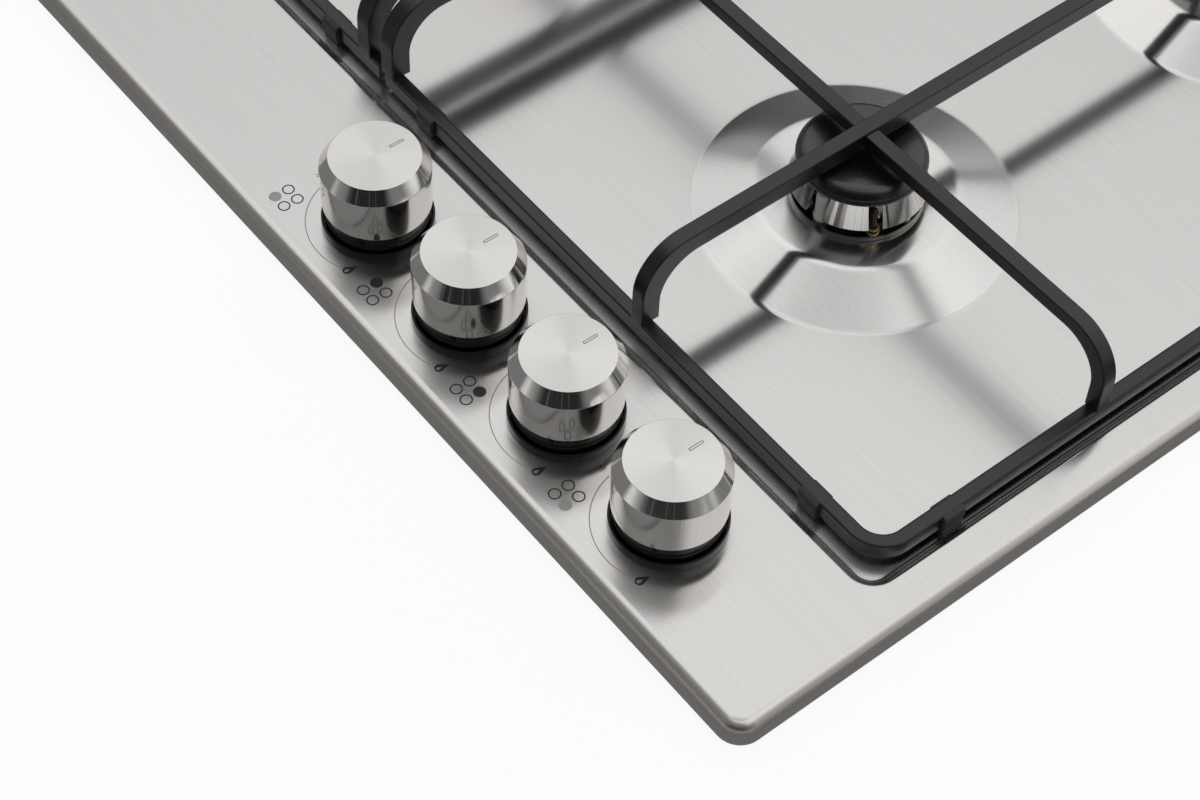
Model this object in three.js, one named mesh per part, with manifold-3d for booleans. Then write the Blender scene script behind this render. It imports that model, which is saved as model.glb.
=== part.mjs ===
// A four-burner gas cooktop that drops into a worktop cut-out.
// Millimetres, +Z up, +X to the user's right, +Y away from the user.
// The origin is the middle of the casing's underside.
import * as THREE from 'three';
import { mergeVertices } from 'three/addons/utils/BufferGeometryUtils.js';
import Module from 'manifold-3d';

const wasm = await Module();
wasm.setup();

// ---------------------------------------------------------------- driving dimensions

// The pressed steel plate: turned-down rim, front deck and sunken burner well.
const plateWidth = 590;
const plateDepth = 510;
const plateSheet = 1;
const plateRimHeight = 9.5;
const plateEdgeRadius = 5;
const plateCornerRadius = 9;
const wellSideMargin = 15;
const wellFrontMargin = 68;
const wellBackMargin = 15;
const wellDepth = 3;
const wellWallRun = 3;
const wellCornerRadius = 10;

// The casing under the plate, which hangs in the cut-out, and the foam seal round it.
const casingInset = 20;
const casingWidth = plateWidth - 2 * casingInset;
const casingLength = plateDepth - 2 * casingInset;
const casingDrop = 40;
const casingSheet = 1;
const casingFlangeReach = 16;
const casingFlangeLift = 2;
const sealWidth = 10;
const notchWidth = 45;
const notchLength = 55;

// Burner places and sizes. Every other burner radius is a reach past the cap's edge.
const burnerSpanX = 300;
const burnerSpanY = 209;
const burnerFrontSetback = 178;
const auxiliaryCapRadius = 23.8;
const semiRapidCapRadius = 35;
const rapidCapRadius = 47.5;

// The seat pressed up from the well under each burner: a cone with a flat top and a hole in it.
const pressedFootReach = 37.2;
const pressedTopReach = 12.7;
const pressedRise = 8;
const pressedFootBlend = 3;
const pressedTopBlend = 2;
const pressedHoleInset = 0.8;

// The burner base, a cast cup that carries the crown.
const baseFlangeReach = 0.7;
const baseFlangeThickness = 2;
const baseSeatHeight = 3;
const cupInset = 7;
const cupWall = 2.5;
const cupDrop = 28;
const cupFloor = 3;
const jetBossRadius = 6;
const jetBossLength = 12;
const jetBossRise = 7;

// The crown, which spreads the flame, and the cap on it.
const crownStemWall = 1.8;
const crownStemDepth = 13;
const crownSkirtReach = 1.7;
const crownSkirtInset = 2.8;
const crownSkirtHeight = 9.8;
const crownSkirtLip = 1;
const crownSkirtLift = 1.2;
const capThickness = 6.6;
const capLift = 0.7;
const capShoulder = 7.5;

// Spark electrode and flame sensor, which stand in notches of the crown.
const electrodeRadius = 2.6;
const electrodeInset = 3.3;
const electrodeAngle = -81;
const electrodeHeight = 14.5;
const electrodeTail = 16;
const sensorRadius = 1.5;
const sensorInset = 1.8;
const sensorAngle = -28;
const sensorHeight = 14.5;
const sensorTail = 14;
const sensorCollarRadius = 2.6;
const sensorCollarHeight = 3.2;
const notchSideGap = 1.1;

// Pan supports: a low frame in the well with raised bars across each burner.
const frameWidth = 5.5;
const frameHeight = 6.8;
const frameTopAboveDeck = 6;
const frameWallGap = 2.5;
const frameFrontGap = 5;
const frameCornerRadius = 14;
const frameEdge = 0.7;
const barWidth = 6;
const barEdge = 0.5;
const longBarTop = 38.5;
const longBarHeight = 8;
const crossBarTop = 37.5;
const crossBarHeight = 5.8;
const barOuterBend = 19.3;
const barInnerBend = 16;
const seamGap = 4;
const rightRailInset = 0;
const leftRailInset = 9.1;
const padLength = 9;
const padWidth = 8;
const padEndSetback = 33;

// Knobs, in a row along the front deck. Heights are above the deck.
const knobPitch = 54.5;
const knobFrontSetback = 35.3;
const knobSideSetback = 77;
const knobTopRadius = 16.4;
const knobShoulderRadius = 19.8;
const knobFootRadius = 19.6;
const knobHeight = 33.5;
const knobShoulderHeight = 28.3;
const knobFootHeight = 11;
const knobShellWall = 1.1;
const knobSkirtRadius = 18.9;
const knobHubRadius = 6;
const knobHubFoot = 8;
const knobTravel = 2.5;
const bezelRadius = 20.3;
const bezelHeight = 3.7;
const bezelFloor = 0.8;
const bezelBore = 6.5;

// Taps on the gas rail below the knobs.
const spindleRadius = 3;
const spindleFlat = 2;
const spindleHole = 5;
const plugRadius = 5.8;
const plugLength = 16.7;
const tapBarrelRadius = 10;
const tapBlockWidth = 22;
const tapBlockLength = 20;
const tapBlockHeight = 18;
const tapFlangeSize = 26;
const tapFlangeThickness = 2;
const tapFloor = 2;
const tapDepth = 26.2;
const tapMagnetRadius = 6.5;
const tapMagnetLength = 24;
const tapOutletRadius = 5;
const tapOutletLength = 9;
const tapOutletOffset = 7;
const tapInletRadius = 4.5;

// Gas rail, its inlet elbow and the feed pipes.
const railRadius = 7;
const railWall = 1.5;
const railOverhang = 20;
const railSideInset = 37;
const railRise = 18;
const railBend = 20;
const railFootLength = 16;
const elbowThreadRadius = 10.4;
const elbowThreadLength = 12;
const elbowBodyRadius = 12.5;
const elbowBodyLength = 25;
const elbowFaceHeight = 3;
const elbowBore = 7;
const pipeRadius = 3;
const pipeBore = 2;
const pipeSocketDepth = 6;
const pipeMouth = 1;
const pipeBow = 50;
const pipeTapRun = 30;
const pipeJetRun = 36;
const pipeCrossing = 40;

// Ignition box and the grommet for its supply lead.
const sparkBoxWidth = 64;
const sparkBoxLength = 40;
const sparkBoxHeight = 25;
const sparkBoxEdge = 1;
const sparkBoxCorner = 4;
const sparkBoxGap = 10;
const sparkPostRadius = 3.5;
const sparkPostHeight = 6;
const grommetRadius = 6;
const grommetBore = 3.5;
const grommetFlange = 3;

// Running and seating clearances.
const seatGap = 0.3;
const slideGap = 0.4;

// Facets on round shapes: burner rings, knobs, hidden shafts, and half of a quarter corner.
const ringFacets = 24;
const knobFacets = 20;
const hiddenFacets = 10;
const cornerFacets = 2;
const pipeFacets = 3;

// ---------------------------------------------------------------- levels and places

const worktopZ = casingDrop;
const deckZ = worktopZ + plateRimHeight;
const deckUndersideZ = deckZ - plateSheet;
const wellZ = deckZ - wellDepth;
const wellUndersideZ = wellZ - plateSheet;
const casingTopZ = wellUndersideZ - seatGap;
const pressedZ = wellZ + pressedRise;
const baseSeatZ = pressedZ + baseFlangeThickness + baseSeatHeight;
const crownSeatZ = baseSeatZ + seatGap;
const skirtFootZ = crownSeatZ + crownSkirtLift;
const crownTopZ = skirtFootZ + crownSkirtHeight;
const capZ = crownTopZ + seatGap;
const frontY = -plateDepth / 2;
const knobY = frontY + knobFrontSetback;
const knobXs = [3, 2, 1, 0].map((place) => plateWidth / 2 - knobSideSetback - place * knobPitch);
const railSideX = plateWidth / 2 - railSideInset;
const rearBurnerY = frontY + burnerFrontSetback + burnerSpanY;
const frontBurnerY = frontY + burnerFrontSetback;

// Knob order from left to right: front left, back left, back right, front right.
const burners = [
  { name: 'front_left', x: -burnerSpanX / 2, y: frontBurnerY, cap: rapidCapRadius },
  { name: 'back_left', x: -burnerSpanX / 2, y: rearBurnerY, cap: semiRapidCapRadius },
  { name: 'back_right', x: burnerSpanX / 2, y: rearBurnerY, cap: semiRapidCapRadius },
  { name: 'front_right', x: burnerSpanX / 2, y: frontBurnerY, cap: auxiliaryCapRadius },
];

const tapTopZ = deckUndersideZ - seatGap;
const tapBaseZ = tapTopZ - tapDepth;
const plugZ = tapBaseZ + tapFloor + seatGap;
const plugTopZ = plugZ + plugLength;
const socketFloorZ = plugZ + cupFloor + cupWall;
const spindleZ = socketFloorZ + knobTravel + 2 * seatGap;
const spindleTopZ = deckZ + knobHeight - knobShellWall - knobHubRadius;
const pipeZ = tapBaseZ + tapBlockHeight / 2;
const railZ = tapBaseZ - tapFloor - seatGap - railRadius;
const jetZ = deckZ - cupDrop + jetBossRise;
const elbowY = casingLength / 2 - notchLength / 2;
const elbowZ = railZ + railRise;

// ---------------------------------------------------------------- shape helpers

// Turns a closed three.js geometry into a solid whose faces point out.
function solidOf(geometry) {
  const bare = geometry.clone();
  bare.deleteAttribute('normal');
  bare.deleteAttribute('uv');
  const welded = mergeVertices(bare, 1e-4);
  const points = welded.attributes.position.array;
  const corners = welded.index.array;
  const faces = [];
  let volume = 0;
  const [a, b, c] = [new THREE.Vector3(), new THREE.Vector3(), new THREE.Vector3()];
  for (let i = 0; i < corners.length; i += 3) {
    const [p, q, r] = [corners[i], corners[i + 1], corners[i + 2]];
    if (p === q || q === r || r === p) continue;
    faces.push([p, q, r]);
    a.fromArray(points, 3 * p);
    b.fromArray(points, 3 * q);
    c.fromArray(points, 3 * r);
    volume += a.dot(b.cross(c));
  }
  const turned = volume < 0 ? faces.map(([p, q, r]) => [p, r, q]) : faces;
  return new wasm.Manifold(new wasm.Mesh({
    numProp: 3,
    vertProperties: new Float32Array(points),
    triVerts: new Uint32Array(turned.flat()),
  }));
}

function geometryOf(solid) {
  const mesh = solid.getMesh();
  const geometry = new THREE.BufferGeometry();
  geometry.setAttribute('position', new THREE.BufferAttribute(mesh.vertProperties, 3));
  geometry.setIndex(new THREE.BufferAttribute(mesh.triVerts, 1));
  geometry.computeVertexNormals();
  return geometry;
}

const join = (first, ...others) => others.reduce((sum, other) => sum.add(other), first);
const cut = (first, ...others) => others.reduce((rest, other) => rest.subtract(other), first);

// A profile of [radius, height] points turned about the vertical through the origin.
function turned(profile, facets = ringFacets) {
  const points = profile.map(([radius, height]) => new THREE.Vector2(radius, height));
  return solidOf(new THREE.LatheGeometry(points, facets).rotateX(Math.PI / 2));
}

const disc = (radius, low, high, facets = hiddenFacets) =>
  turned([[0, low], [radius, low], [radius, high], [0, high]], facets);

// A cylinder along Y from one y to another, at (x, z).
function rodAlongY(radius, x, z, from, to, facets = hiddenFacets) {
  const geometry = new THREE.CylinderGeometry(radius, radius, to - from, facets);
  geometry.translate(x, (from + to) / 2, z);
  return solidOf(geometry);
}

function block(xLow, xHigh, yLow, yHigh, zLow, zHigh) {
  const geometry = new THREE.BoxGeometry(xHigh - xLow, yHigh - yLow, zHigh - zLow);
  geometry.translate((xLow + xHigh) / 2, (yLow + yHigh) / 2, (zLow + zHigh) / 2);
  return solidOf(geometry);
}

// A rectangle with rounded corners, as a shape.
function roundedRectangle(xLow, xHigh, yLow, yHigh, radius) {
  const shape = new THREE.Shape();
  shape.moveTo(xLow + radius, yLow);
  shape.lineTo(xHigh - radius, yLow);
  shape.absarc(xHigh - radius, yLow + radius, radius, -Math.PI / 2, 0);
  shape.lineTo(xHigh, yHigh - radius);
  shape.absarc(xHigh - radius, yHigh - radius, radius, 0, Math.PI / 2);
  shape.lineTo(xLow + radius, yHigh);
  shape.absarc(xLow + radius, yHigh - radius, radius, Math.PI / 2, Math.PI);
  shape.lineTo(xLow, yLow + radius);
  shape.absarc(xLow + radius, yLow + radius, radius, Math.PI, 1.5 * Math.PI);
  return shape;
}

// A shape raised from low to high. Its ends draw in by `run` over a height of `rise`.
function raised(shape, low, high, run = 0, rise = run, steps = 1) {
  const geometry = new THREE.ExtrudeGeometry(shape, {
    depth: high - low - 2 * rise,
    bevelEnabled: run > 0,
    bevelThickness: rise,
    bevelSize: run,
    bevelOffset: -run,
    bevelSegments: steps,
    curveSegments: cornerFacets,
  });
  geometry.translate(0, 0, low + rise);
  return solidOf(geometry);
}

// A tube along a path, open at both ends.
function tube(path, radius, bore, steps) {
  const section = new THREE.Shape();
  section.absarc(0, 0, radius, 0, 2 * Math.PI);
  const hole = new THREE.Path();
  hole.absarc(0, 0, bore, 0, 2 * Math.PI, true);
  section.holes.push(hole);
  return solidOf(new THREE.ExtrudeGeometry(section, {
    steps, extrudePath: path, bevelEnabled: false, curveSegments: pipeFacets,
  }));
}

// A round bar with one flat side, for the spindle and the holes it turns.
function dShaft(low, high, gap = 0) {
  const radius = spindleRadius + gap;
  const flat = spindleFlat + gap;
  const side = radius + slideGap;
  return cut(disc(radius, low, high),
    block(-side, side, flat, flat + side, low - slideGap, high + slideGap));
}

// ---------------------------------------------------------------- finishes

const finish = (color, roughness, metalness) =>
  new THREE.MeshStandardMaterial({ color, roughness, metalness, flatShading: true });
const brushedSteel = finish(0xd3d1cf, 0.35, 1);
const zincSteel = finish(0x9a9c9c, 0.5, 1);
const foam = finish(0x3a3a3a, 0.95, 0);
const brass = finish(0xb9974f, 0.35, 1);
const aluminium = finish(0xb8b8b6, 0.4, 1);
const blackEnamel = finish(0x1c1c1d, 0.45, 0);
const blackPlastic = finish(0x141414, 0.4, 0);
const castAlloy = finish(0x4a4a4b, 0.6, 0.8);
const ceramic = finish(0xd8d6cf, 0.35, 0);
const satinMetal = finish(0xc4c2bf, 0.25, 1);

// ---------------------------------------------------------------- the model

const cooktop = new THREE.Group();

function addPart(name, solid, material, group = cooktop) {
  const mesh = new THREE.Mesh(geometryOf(solid), material);
  mesh.name = name;
  group.add(mesh);
}

// A group for the pieces of one burner or knob, which are drawn about its own vertical axis.
function groupAt(x, y) {
  const group = new THREE.Group();
  group.position.set(x, y, 0);
  cooktop.add(group);
  return group;
}

const moved = (solid, x, y) => solid.translate([x, y, 0]);

// Everything under the plate's upper surface, lowered and drawn in by `sheet`.
function plateMass(sheet) {
  const halfWidth = plateWidth / 2 - sheet;
  const halfDepth = plateDepth / 2 - sheet;
  let mass = raised(
    roundedRectangle(-halfWidth, halfWidth, -halfDepth, halfDepth, plateCornerRadius - sheet),
    worktopZ - plateRimHeight, deckZ - sheet, plateEdgeRadius - sheet, plateEdgeRadius - sheet, 4);
  const well = roundedRectangle(
    -plateWidth / 2 + wellSideMargin - sheet, plateWidth / 2 - wellSideMargin + sheet,
    frontY + wellFrontMargin - sheet, plateDepth / 2 - wellBackMargin + sheet,
    wellCornerRadius + sheet);
  mass = cut(mass, raised(well, wellZ - sheet, deckZ + 3 * wellDepth, wellWallRun, wellDepth));
  const drawnIn = sheet * pressedRise / (2 * (pressedFootReach - pressedTopReach));
  for (const { x, y, cap } of burners) {
    const foot = cap + pressedFootReach - drawnIn;
    const top = cap + pressedTopReach - drawnIn;
    mass = join(mass, moved(turned([
      [0, worktopZ], [foot, worktopZ], [foot, wellZ - sheet],
      [foot - pressedFootBlend, wellZ - sheet + 0.06 * pressedRise],
      [top + pressedTopBlend, pressedZ - sheet - 0.06 * pressedRise],
      [top, pressedZ - sheet], [0, pressedZ - sheet],
    ]), x, y));
  }
  return mass;
}

function topPlate() {
  const halfWidth = plateWidth;
  const halfDepth = plateDepth;
  const trimmed = cut(plateMass(0),
    block(-halfWidth, halfWidth, -halfDepth, halfDepth, -deckZ, worktopZ));
  const above = deckZ + plateRimHeight;
  const burnerHoles = burners.flatMap(({ x, y, cap }) => [
    disc(cap - pressedHoleInset, 0, above),
    ...pinHoles(cap),
  ].map((hole) => moved(hole, x, y)));
  const knobHoles = knobXs.map((x) => moved(disc(spindleHole, 0, above), x, knobY));
  return cut(trimmed, plateMass(plateSheet), ...burnerHoles, ...knobHoles);
}

// The casing's plan, drawn in by `inset`, with a notch at the back right for the gas inlet.
function casingPlan(inset) {
  const right = casingWidth / 2 - inset;
  const back = casingLength / 2 - inset;
  const notchX = casingWidth / 2 - notchWidth - inset;
  const notchY = casingLength / 2 - notchLength - inset;
  return new THREE.Shape([
    [-right, -back], [right, -back], [right, notchY], [notchX, notchY], [notchX, back], [-right, back],
  ].map(([x, y]) => new THREE.Vector2(x, y)));
}

const flangeHalfWidth = casingWidth / 2 + casingFlangeReach;
const flangeHalfDepth = casingLength / 2 + casingFlangeReach;
const flangeZ = worktopZ + casingFlangeLift;
const grommetX = -casingWidth / 2 + 2 * notchWidth;
const grommetZ = casingDrop / 2;

function bottomCasing() {
  const flange = block(-flangeHalfWidth, flangeHalfWidth, -flangeHalfDepth, flangeHalfDepth,
    flangeZ, flangeZ + casingSheet);
  const notchWallY = casingLength / 2 - notchLength;
  return cut(
    join(raised(casingPlan(0), 0, casingTopZ), flange),
    raised(casingPlan(casingSheet), casingSheet, deckZ),
    rodAlongY(railRadius + 3 * slideGap, railSideX, elbowZ,
      notchWallY - 2 * railRadius, notchWallY + railRadius),
    rodAlongY(grommetRadius + seatGap, grommetX, grommetZ,
      casingLength / 2 - 2 * casingSheet, casingLength / 2 + casingSheet));
}

function edgeSeal() {
  const [width, depth] = [flangeHalfWidth, flangeHalfDepth];
  return cut(
    block(-width, width, -depth, depth, worktopZ, flangeZ),
    block(-width + sealWidth, width - sealWidth, -depth + sealWidth, depth - sealWidth, 0, deckZ));
}

// ---------------------------------------------------------------- burners

const cupRadius = (cap) => cap - cupInset;
const placeAt = (radius, angle) => {
  const turn = THREE.MathUtils.degToRad(angle);
  return [radius * Math.cos(turn), radius * Math.sin(turn)];
};
const electrodePlace = (cap) => placeAt(cap - electrodeInset, electrodeAngle);
const sensorPlace = (cap) => placeAt(cap - sensorInset, sensorAngle);

// Clearance for the electrode and the sensor through the plate and the base's flange.
const pinHoles = (cap) => [
  moved(disc(electrodeRadius + slideGap, 0, crownTopZ), ...electrodePlace(cap)),
  moved(disc(sensorRadius + slideGap, 0, crownTopZ), ...sensorPlace(cap)),
];

function burnerBase(cap) {
  const cup = cupRadius(cap);
  const bottom = deckZ - cupDrop;
  const flangeTop = pressedZ + baseFlangeThickness;
  const body = turned([
    [0, bottom], [cup, bottom], [cup, pressedZ], [cap + baseFlangeReach, pressedZ],
    [cap + baseFlangeReach, flangeTop], [cup, flangeTop], [cup, baseSeatZ],
    [cup - cupWall, baseSeatZ], [cup - cupWall, bottom + cupFloor], [0, bottom + cupFloor],
  ]);
  return cut(
    join(body, rodAlongY(jetBossRadius, 0, jetZ, -cup - jetBossLength, -cup + cupWall / 2)),
    rodAlongY(pipeRadius + 2 * slideGap, 0, jetZ, -cup - 2 * jetBossLength, -cup + 2 * cupWall),
    ...pinHoles(cap));
}

// A wedge of space in the crown's skirt round a pin at the given angle.
function crownNotch(cap, pinRadius, inset, angle) {
  const from = cap - inset - pinRadius - slideGap;
  const to = cap + 3 * crownSkirtReach;
  const side = pinRadius + notchSideGap;
  const geometry = new THREE.BoxGeometry(to - from, 2 * side, deckZ);
  geometry.translate((from + to) / 2, 0, crownSeatZ + deckZ / 2);
  return solidOf(geometry.rotateZ(THREE.MathUtils.degToRad(angle)));
}

function burnerCrown(cap) {
  const stem = cupRadius(cap) - cupWall - slideGap;
  const skirt = cap + crownSkirtReach;
  const shoulder = cap - crownSkirtInset;
  const body = turned([
    [stem - crownStemWall, crownSeatZ - crownStemDepth], [stem, crownSeatZ - crownStemDepth],
    [stem, crownSeatZ], [cupRadius(cap), crownSeatZ],
    [cupRadius(cap), skirtFootZ + crownSkirtLip], [skirt - crownSkirtLip, skirtFootZ],
    [skirt, skirtFootZ], [shoulder, crownTopZ], [stem - crownStemWall, crownTopZ],
    [stem - crownStemWall, crownSeatZ - crownStemDepth],
  ]);
  return cut(body,
    crownNotch(cap, electrodeRadius, electrodeInset, electrodeAngle),
    crownNotch(cap, sensorRadius, sensorInset, sensorAngle));
}

function burnerCap(cap) {
  const top = capZ + capThickness;
  const rim = capZ + capLift;
  return turned([
    [0, capZ], [cap - crownSkirtInset, capZ], [cap, rim], [cap, rim + 2.5 * capLift],
    [cap - capShoulder * 0.25, top - capShoulder * 0.22], [cap - capShoulder, top], [0, top],
  ]);
}

function sparkElectrode(cap) {
  const flangeTop = pressedZ + baseFlangeThickness;
  const top = flangeTop + electrodeHeight - baseFlangeThickness;
  const shoulder = flangeTop + seatGap;
  const pin = turned([
    [0, flangeTop - electrodeTail], [electrodeRadius * 0.7, flangeTop - electrodeTail],
    [electrodeRadius, shoulder - electrodeTail / 2], [electrodeRadius, top - 1],
    [electrodeRadius * 0.8, top], [electrodeRadius * 0.25, top],
    [electrodeRadius * 0.25, top + 1.5], [0, top + 1.5],
  ], hiddenFacets);
  return moved(pin, ...electrodePlace(cap));
}

function flameSensor(cap) {
  const flangeTop = pressedZ + baseFlangeThickness;
  const foot = flangeTop + seatGap;
  const pin = turned([
    [0, flangeTop - sensorTail], [sensorRadius, flangeTop - sensorTail], [sensorRadius, foot],
    [sensorCollarRadius, foot], [sensorCollarRadius, foot + sensorCollarHeight],
    [sensorRadius * 0.8, foot + sensorCollarHeight + sensorRadius],
    [sensorRadius * 0.8, flangeTop + sensorHeight - sensorRadius],
    [sensorRadius * 0.3, flangeTop + sensorHeight - baseFlangeThickness],
    [0, flangeTop + sensorHeight - baseFlangeThickness],
  ], hiddenFacets);
  return moved(pin, ...sensorPlace(cap));
}

// ---------------------------------------------------------------- pan supports

const frameTopZ = deckZ + frameTopAboveDeck;
const frameZ = frameTopZ - frameHeight;
const frameOuterX = plateWidth / 2 - wellSideMargin - wellWallRun - frameWallGap;
const frameFrontY = frontY + wellFrontMargin + wellWallRun + frameFrontGap;
const frameBackY = plateDepth / 2 - wellBackMargin - wellWallRun - frameWallGap;

// The side view of a raised bar with a bent foot at each end that lands on the frame.
function archProfile(low, high, top, height, bentLow, bentHigh) {
  const under = top - height;
  const foot = frameTopZ - frameEdge;
  const shape = new THREE.Shape();
  if (bentLow) {
    shape.moveTo(low, foot);
    shape.lineTo(low, top - barOuterBend);
    shape.absarc(low + barOuterBend, top - barOuterBend, barOuterBend, Math.PI, Math.PI / 2, true);
  } else {
    shape.moveTo(low, under);
    shape.lineTo(low, top);
  }
  if (bentHigh) {
    shape.lineTo(high - barOuterBend, top);
    shape.absarc(high - barOuterBend, top - barOuterBend, barOuterBend, Math.PI / 2, 0, true);
    shape.lineTo(high, foot);
    shape.lineTo(high - height, foot);
    shape.lineTo(high - height, under - barInnerBend);
    shape.absarc(high - height - barInnerBend, under - barInnerBend, barInnerBend, 0, Math.PI / 2, false);
  } else {
    shape.lineTo(high, top);
    shape.lineTo(high, under);
  }
  if (bentLow) {
    shape.lineTo(low + height + barInnerBend, under);
    shape.absarc(low + height + barInnerBend, under - barInnerBend, barInnerBend,
      Math.PI / 2, Math.PI, false);
    shape.lineTo(low + height, foot);
  }
  return shape;
}

// A bar whose profile lies across X (a long bar) or across Y (a cross bar).
function bar(profile, middle, alongY) {
  const geometry = new THREE.ExtrudeGeometry(profile, {
    depth: barWidth - 2 * barEdge, bevelEnabled: true, bevelThickness: barEdge, bevelSize: barEdge,
    bevelOffset: -barEdge, bevelSegments: 1, curveSegments: cornerFacets,
  });
  geometry.translate(0, 0, barEdge - barWidth / 2);
  geometry.rotateX(Math.PI / 2);
  if (alongY) geometry.rotateZ(Math.PI / 2);
  geometry.translate(alongY ? middle : 0, alongY ? 0 : middle, 0);
  return solidOf(geometry);
}

// The support of one side. `side` is 1 on the right and -1 on the left.
function panSupport(side, railInset) {
  const inner = seamGap / 2;
  const outerFrame = roundedRectangle(inner - frameOuterX, frameOuterX, frameFrontY, frameBackY,
    frameCornerRadius);
  const opening = roundedRectangle(inner - frameOuterX, frameOuterX - frameWidth,
    frameFrontY + frameWidth, frameBackY - frameWidth, frameCornerRadius - frameWidth);
  let support = cut(raised(outerFrame, frameZ, frameTopZ, frameEdge), raised(opening, 0, 2 * deckZ),
    block(-2 * frameOuterX, inner, -plateDepth, plateDepth, 0, 2 * deckZ));
  const longTop = deckZ + longBarTop;
  const crossTop = deckZ + crossBarTop;
  const longProfile = archProfile(frameFrontY, frameBackY, longTop, longBarHeight, true, true);
  const railX = inner - seamGap / 2 + railInset + barWidth / 2 + seatGap;
  support = join(support, bar(longProfile, railX, true), bar(longProfile, burnerSpanX / 2, true));
  for (const y of [frontBurnerY, rearBurnerY]) {
    const crossProfile = archProfile(railX, frameOuterX, crossTop, crossBarHeight, false, true);
    support = join(support, bar(crossProfile, y, false));
  }
  const padOut = (padWidth - frameWidth) / 2;
  const padFloor = wellZ + seatGap;
  for (const x of [inner + padEndSetback - padLength / 2 + railInset / 2, frameOuterX - padEndSetback]) {
    for (const y of [frameFrontY - padOut, frameBackY - frameWidth - padOut]) {
      support = join(support, block(x - padLength / 2, x + padLength / 2, y, y + padWidth,
        padFloor, frameZ + frameEdge));
    }
  }
  for (const y of [frameFrontY + padEndSetback, frameBackY - padEndSetback]) {
    support = join(support, block(frameOuterX - frameWidth - padOut, frameOuterX + padOut,
      y - padLength / 2, y + padLength / 2, padFloor, frameZ + frameEdge));
  }
  return side > 0 ? support : support.mirror([1, 0, 0]);
}

// ---------------------------------------------------------------- knobs and taps

function knobShell() {
  const wall = knobShellWall;
  return turned([
    [0, deckZ + knobHeight - wall], [knobTopRadius - wall / 2, deckZ + knobHeight - wall],
    [knobShoulderRadius - wall, deckZ + knobShoulderHeight - wall / 2],
    [knobFootRadius - wall, deckZ + knobFootHeight], [knobFootRadius, deckZ + knobFootHeight],
    [knobShoulderRadius, deckZ + knobShoulderHeight], [knobTopRadius, deckZ + knobHeight],
    [0, deckZ + knobHeight],
  ], knobFacets);
}

const skirtFoot = bezelFloor + knobTravel + slideGap / 2;

function knobCore() {
  const inset = knobShellWall + slideGap;
  const skirtTop = deckZ + knobFootHeight - seatGap;
  const skirtInner = knobSkirtRadius - 1.6;
  const crown = deckZ + knobHeight - knobShellWall - seatGap;
  const body = turned([
    [0, deckZ + knobHubFoot], [knobHubRadius, deckZ + knobHubFoot],
    [knobHubRadius, crown - 4.5], [knobTopRadius - 4.5, crown - 4.5],
    [skirtInner, deckZ + knobShoulderHeight - 6],
    [skirtInner, deckZ + skirtFoot], [knobSkirtRadius, deckZ + skirtFoot],
    [knobSkirtRadius, skirtTop], [knobFootRadius - inset, skirtTop],
    [knobShoulderRadius - inset, deckZ + knobShoulderHeight - inset / 2],
    [knobTopRadius - inset, crown], [0, crown],
  ], knobFacets);
  return cut(body, dShaft(deckZ, spindleTopZ + seatGap, seatGap));
}

function knobBezel() {
  const bore = knobSkirtRadius + slideGap;
  return turned([
    [bezelBore, deckZ], [bezelRadius, deckZ], [bezelRadius, deckZ + bezelHeight],
    [bore, deckZ + bezelHeight], [bore, deckZ + bezelFloor], [bezelBore, deckZ + bezelFloor],
    [bezelBore, deckZ],
  ], knobFacets);
}

const tapSpindle = () => dShaft(spindleZ, spindleTopZ);
const tapPlug = () => cut(disc(plugRadius, plugZ, plugTopZ), dShaft(socketFloorZ, deckZ, seatGap));

function tapBody() {
  const back = tapBlockLength / 2;
  const blockTop = tapBaseZ + tapBlockHeight;
  const half = tapFlangeSize / 2;
  const magnetX = tapBlockWidth / 2 - tapMagnetRadius;
  const outletEnd = back + tapOutletLength;
  return cut(
    join(
      disc(tapBarrelRadius, tapBaseZ, tapTopZ),
      block(-tapBlockWidth / 2, tapBlockWidth / 2, -back, back, tapBaseZ, blockTop),
      block(-half, half, -half, half, tapTopZ - tapFlangeThickness, tapTopZ),
      rodAlongY(tapMagnetRadius, magnetX, pipeZ, back - tapFloor, back + tapMagnetLength),
      rodAlongY(tapOutletRadius, -tapOutletOffset, pipeZ, back - tapFloor, outletEnd),
      disc(tapInletRadius, tapBaseZ - tapFloor, tapBaseZ + tapFloor)),
    disc(plugRadius + slideGap, tapBaseZ + tapFloor, deckZ),
    rodAlongY(pipeRadius + 2 * slideGap, -tapOutletOffset, pipeZ,
      outletEnd - pipeSocketDepth - tapFloor, outletEnd + tapFloor));
}

// ---------------------------------------------------------------- gas rail and pipes

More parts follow.
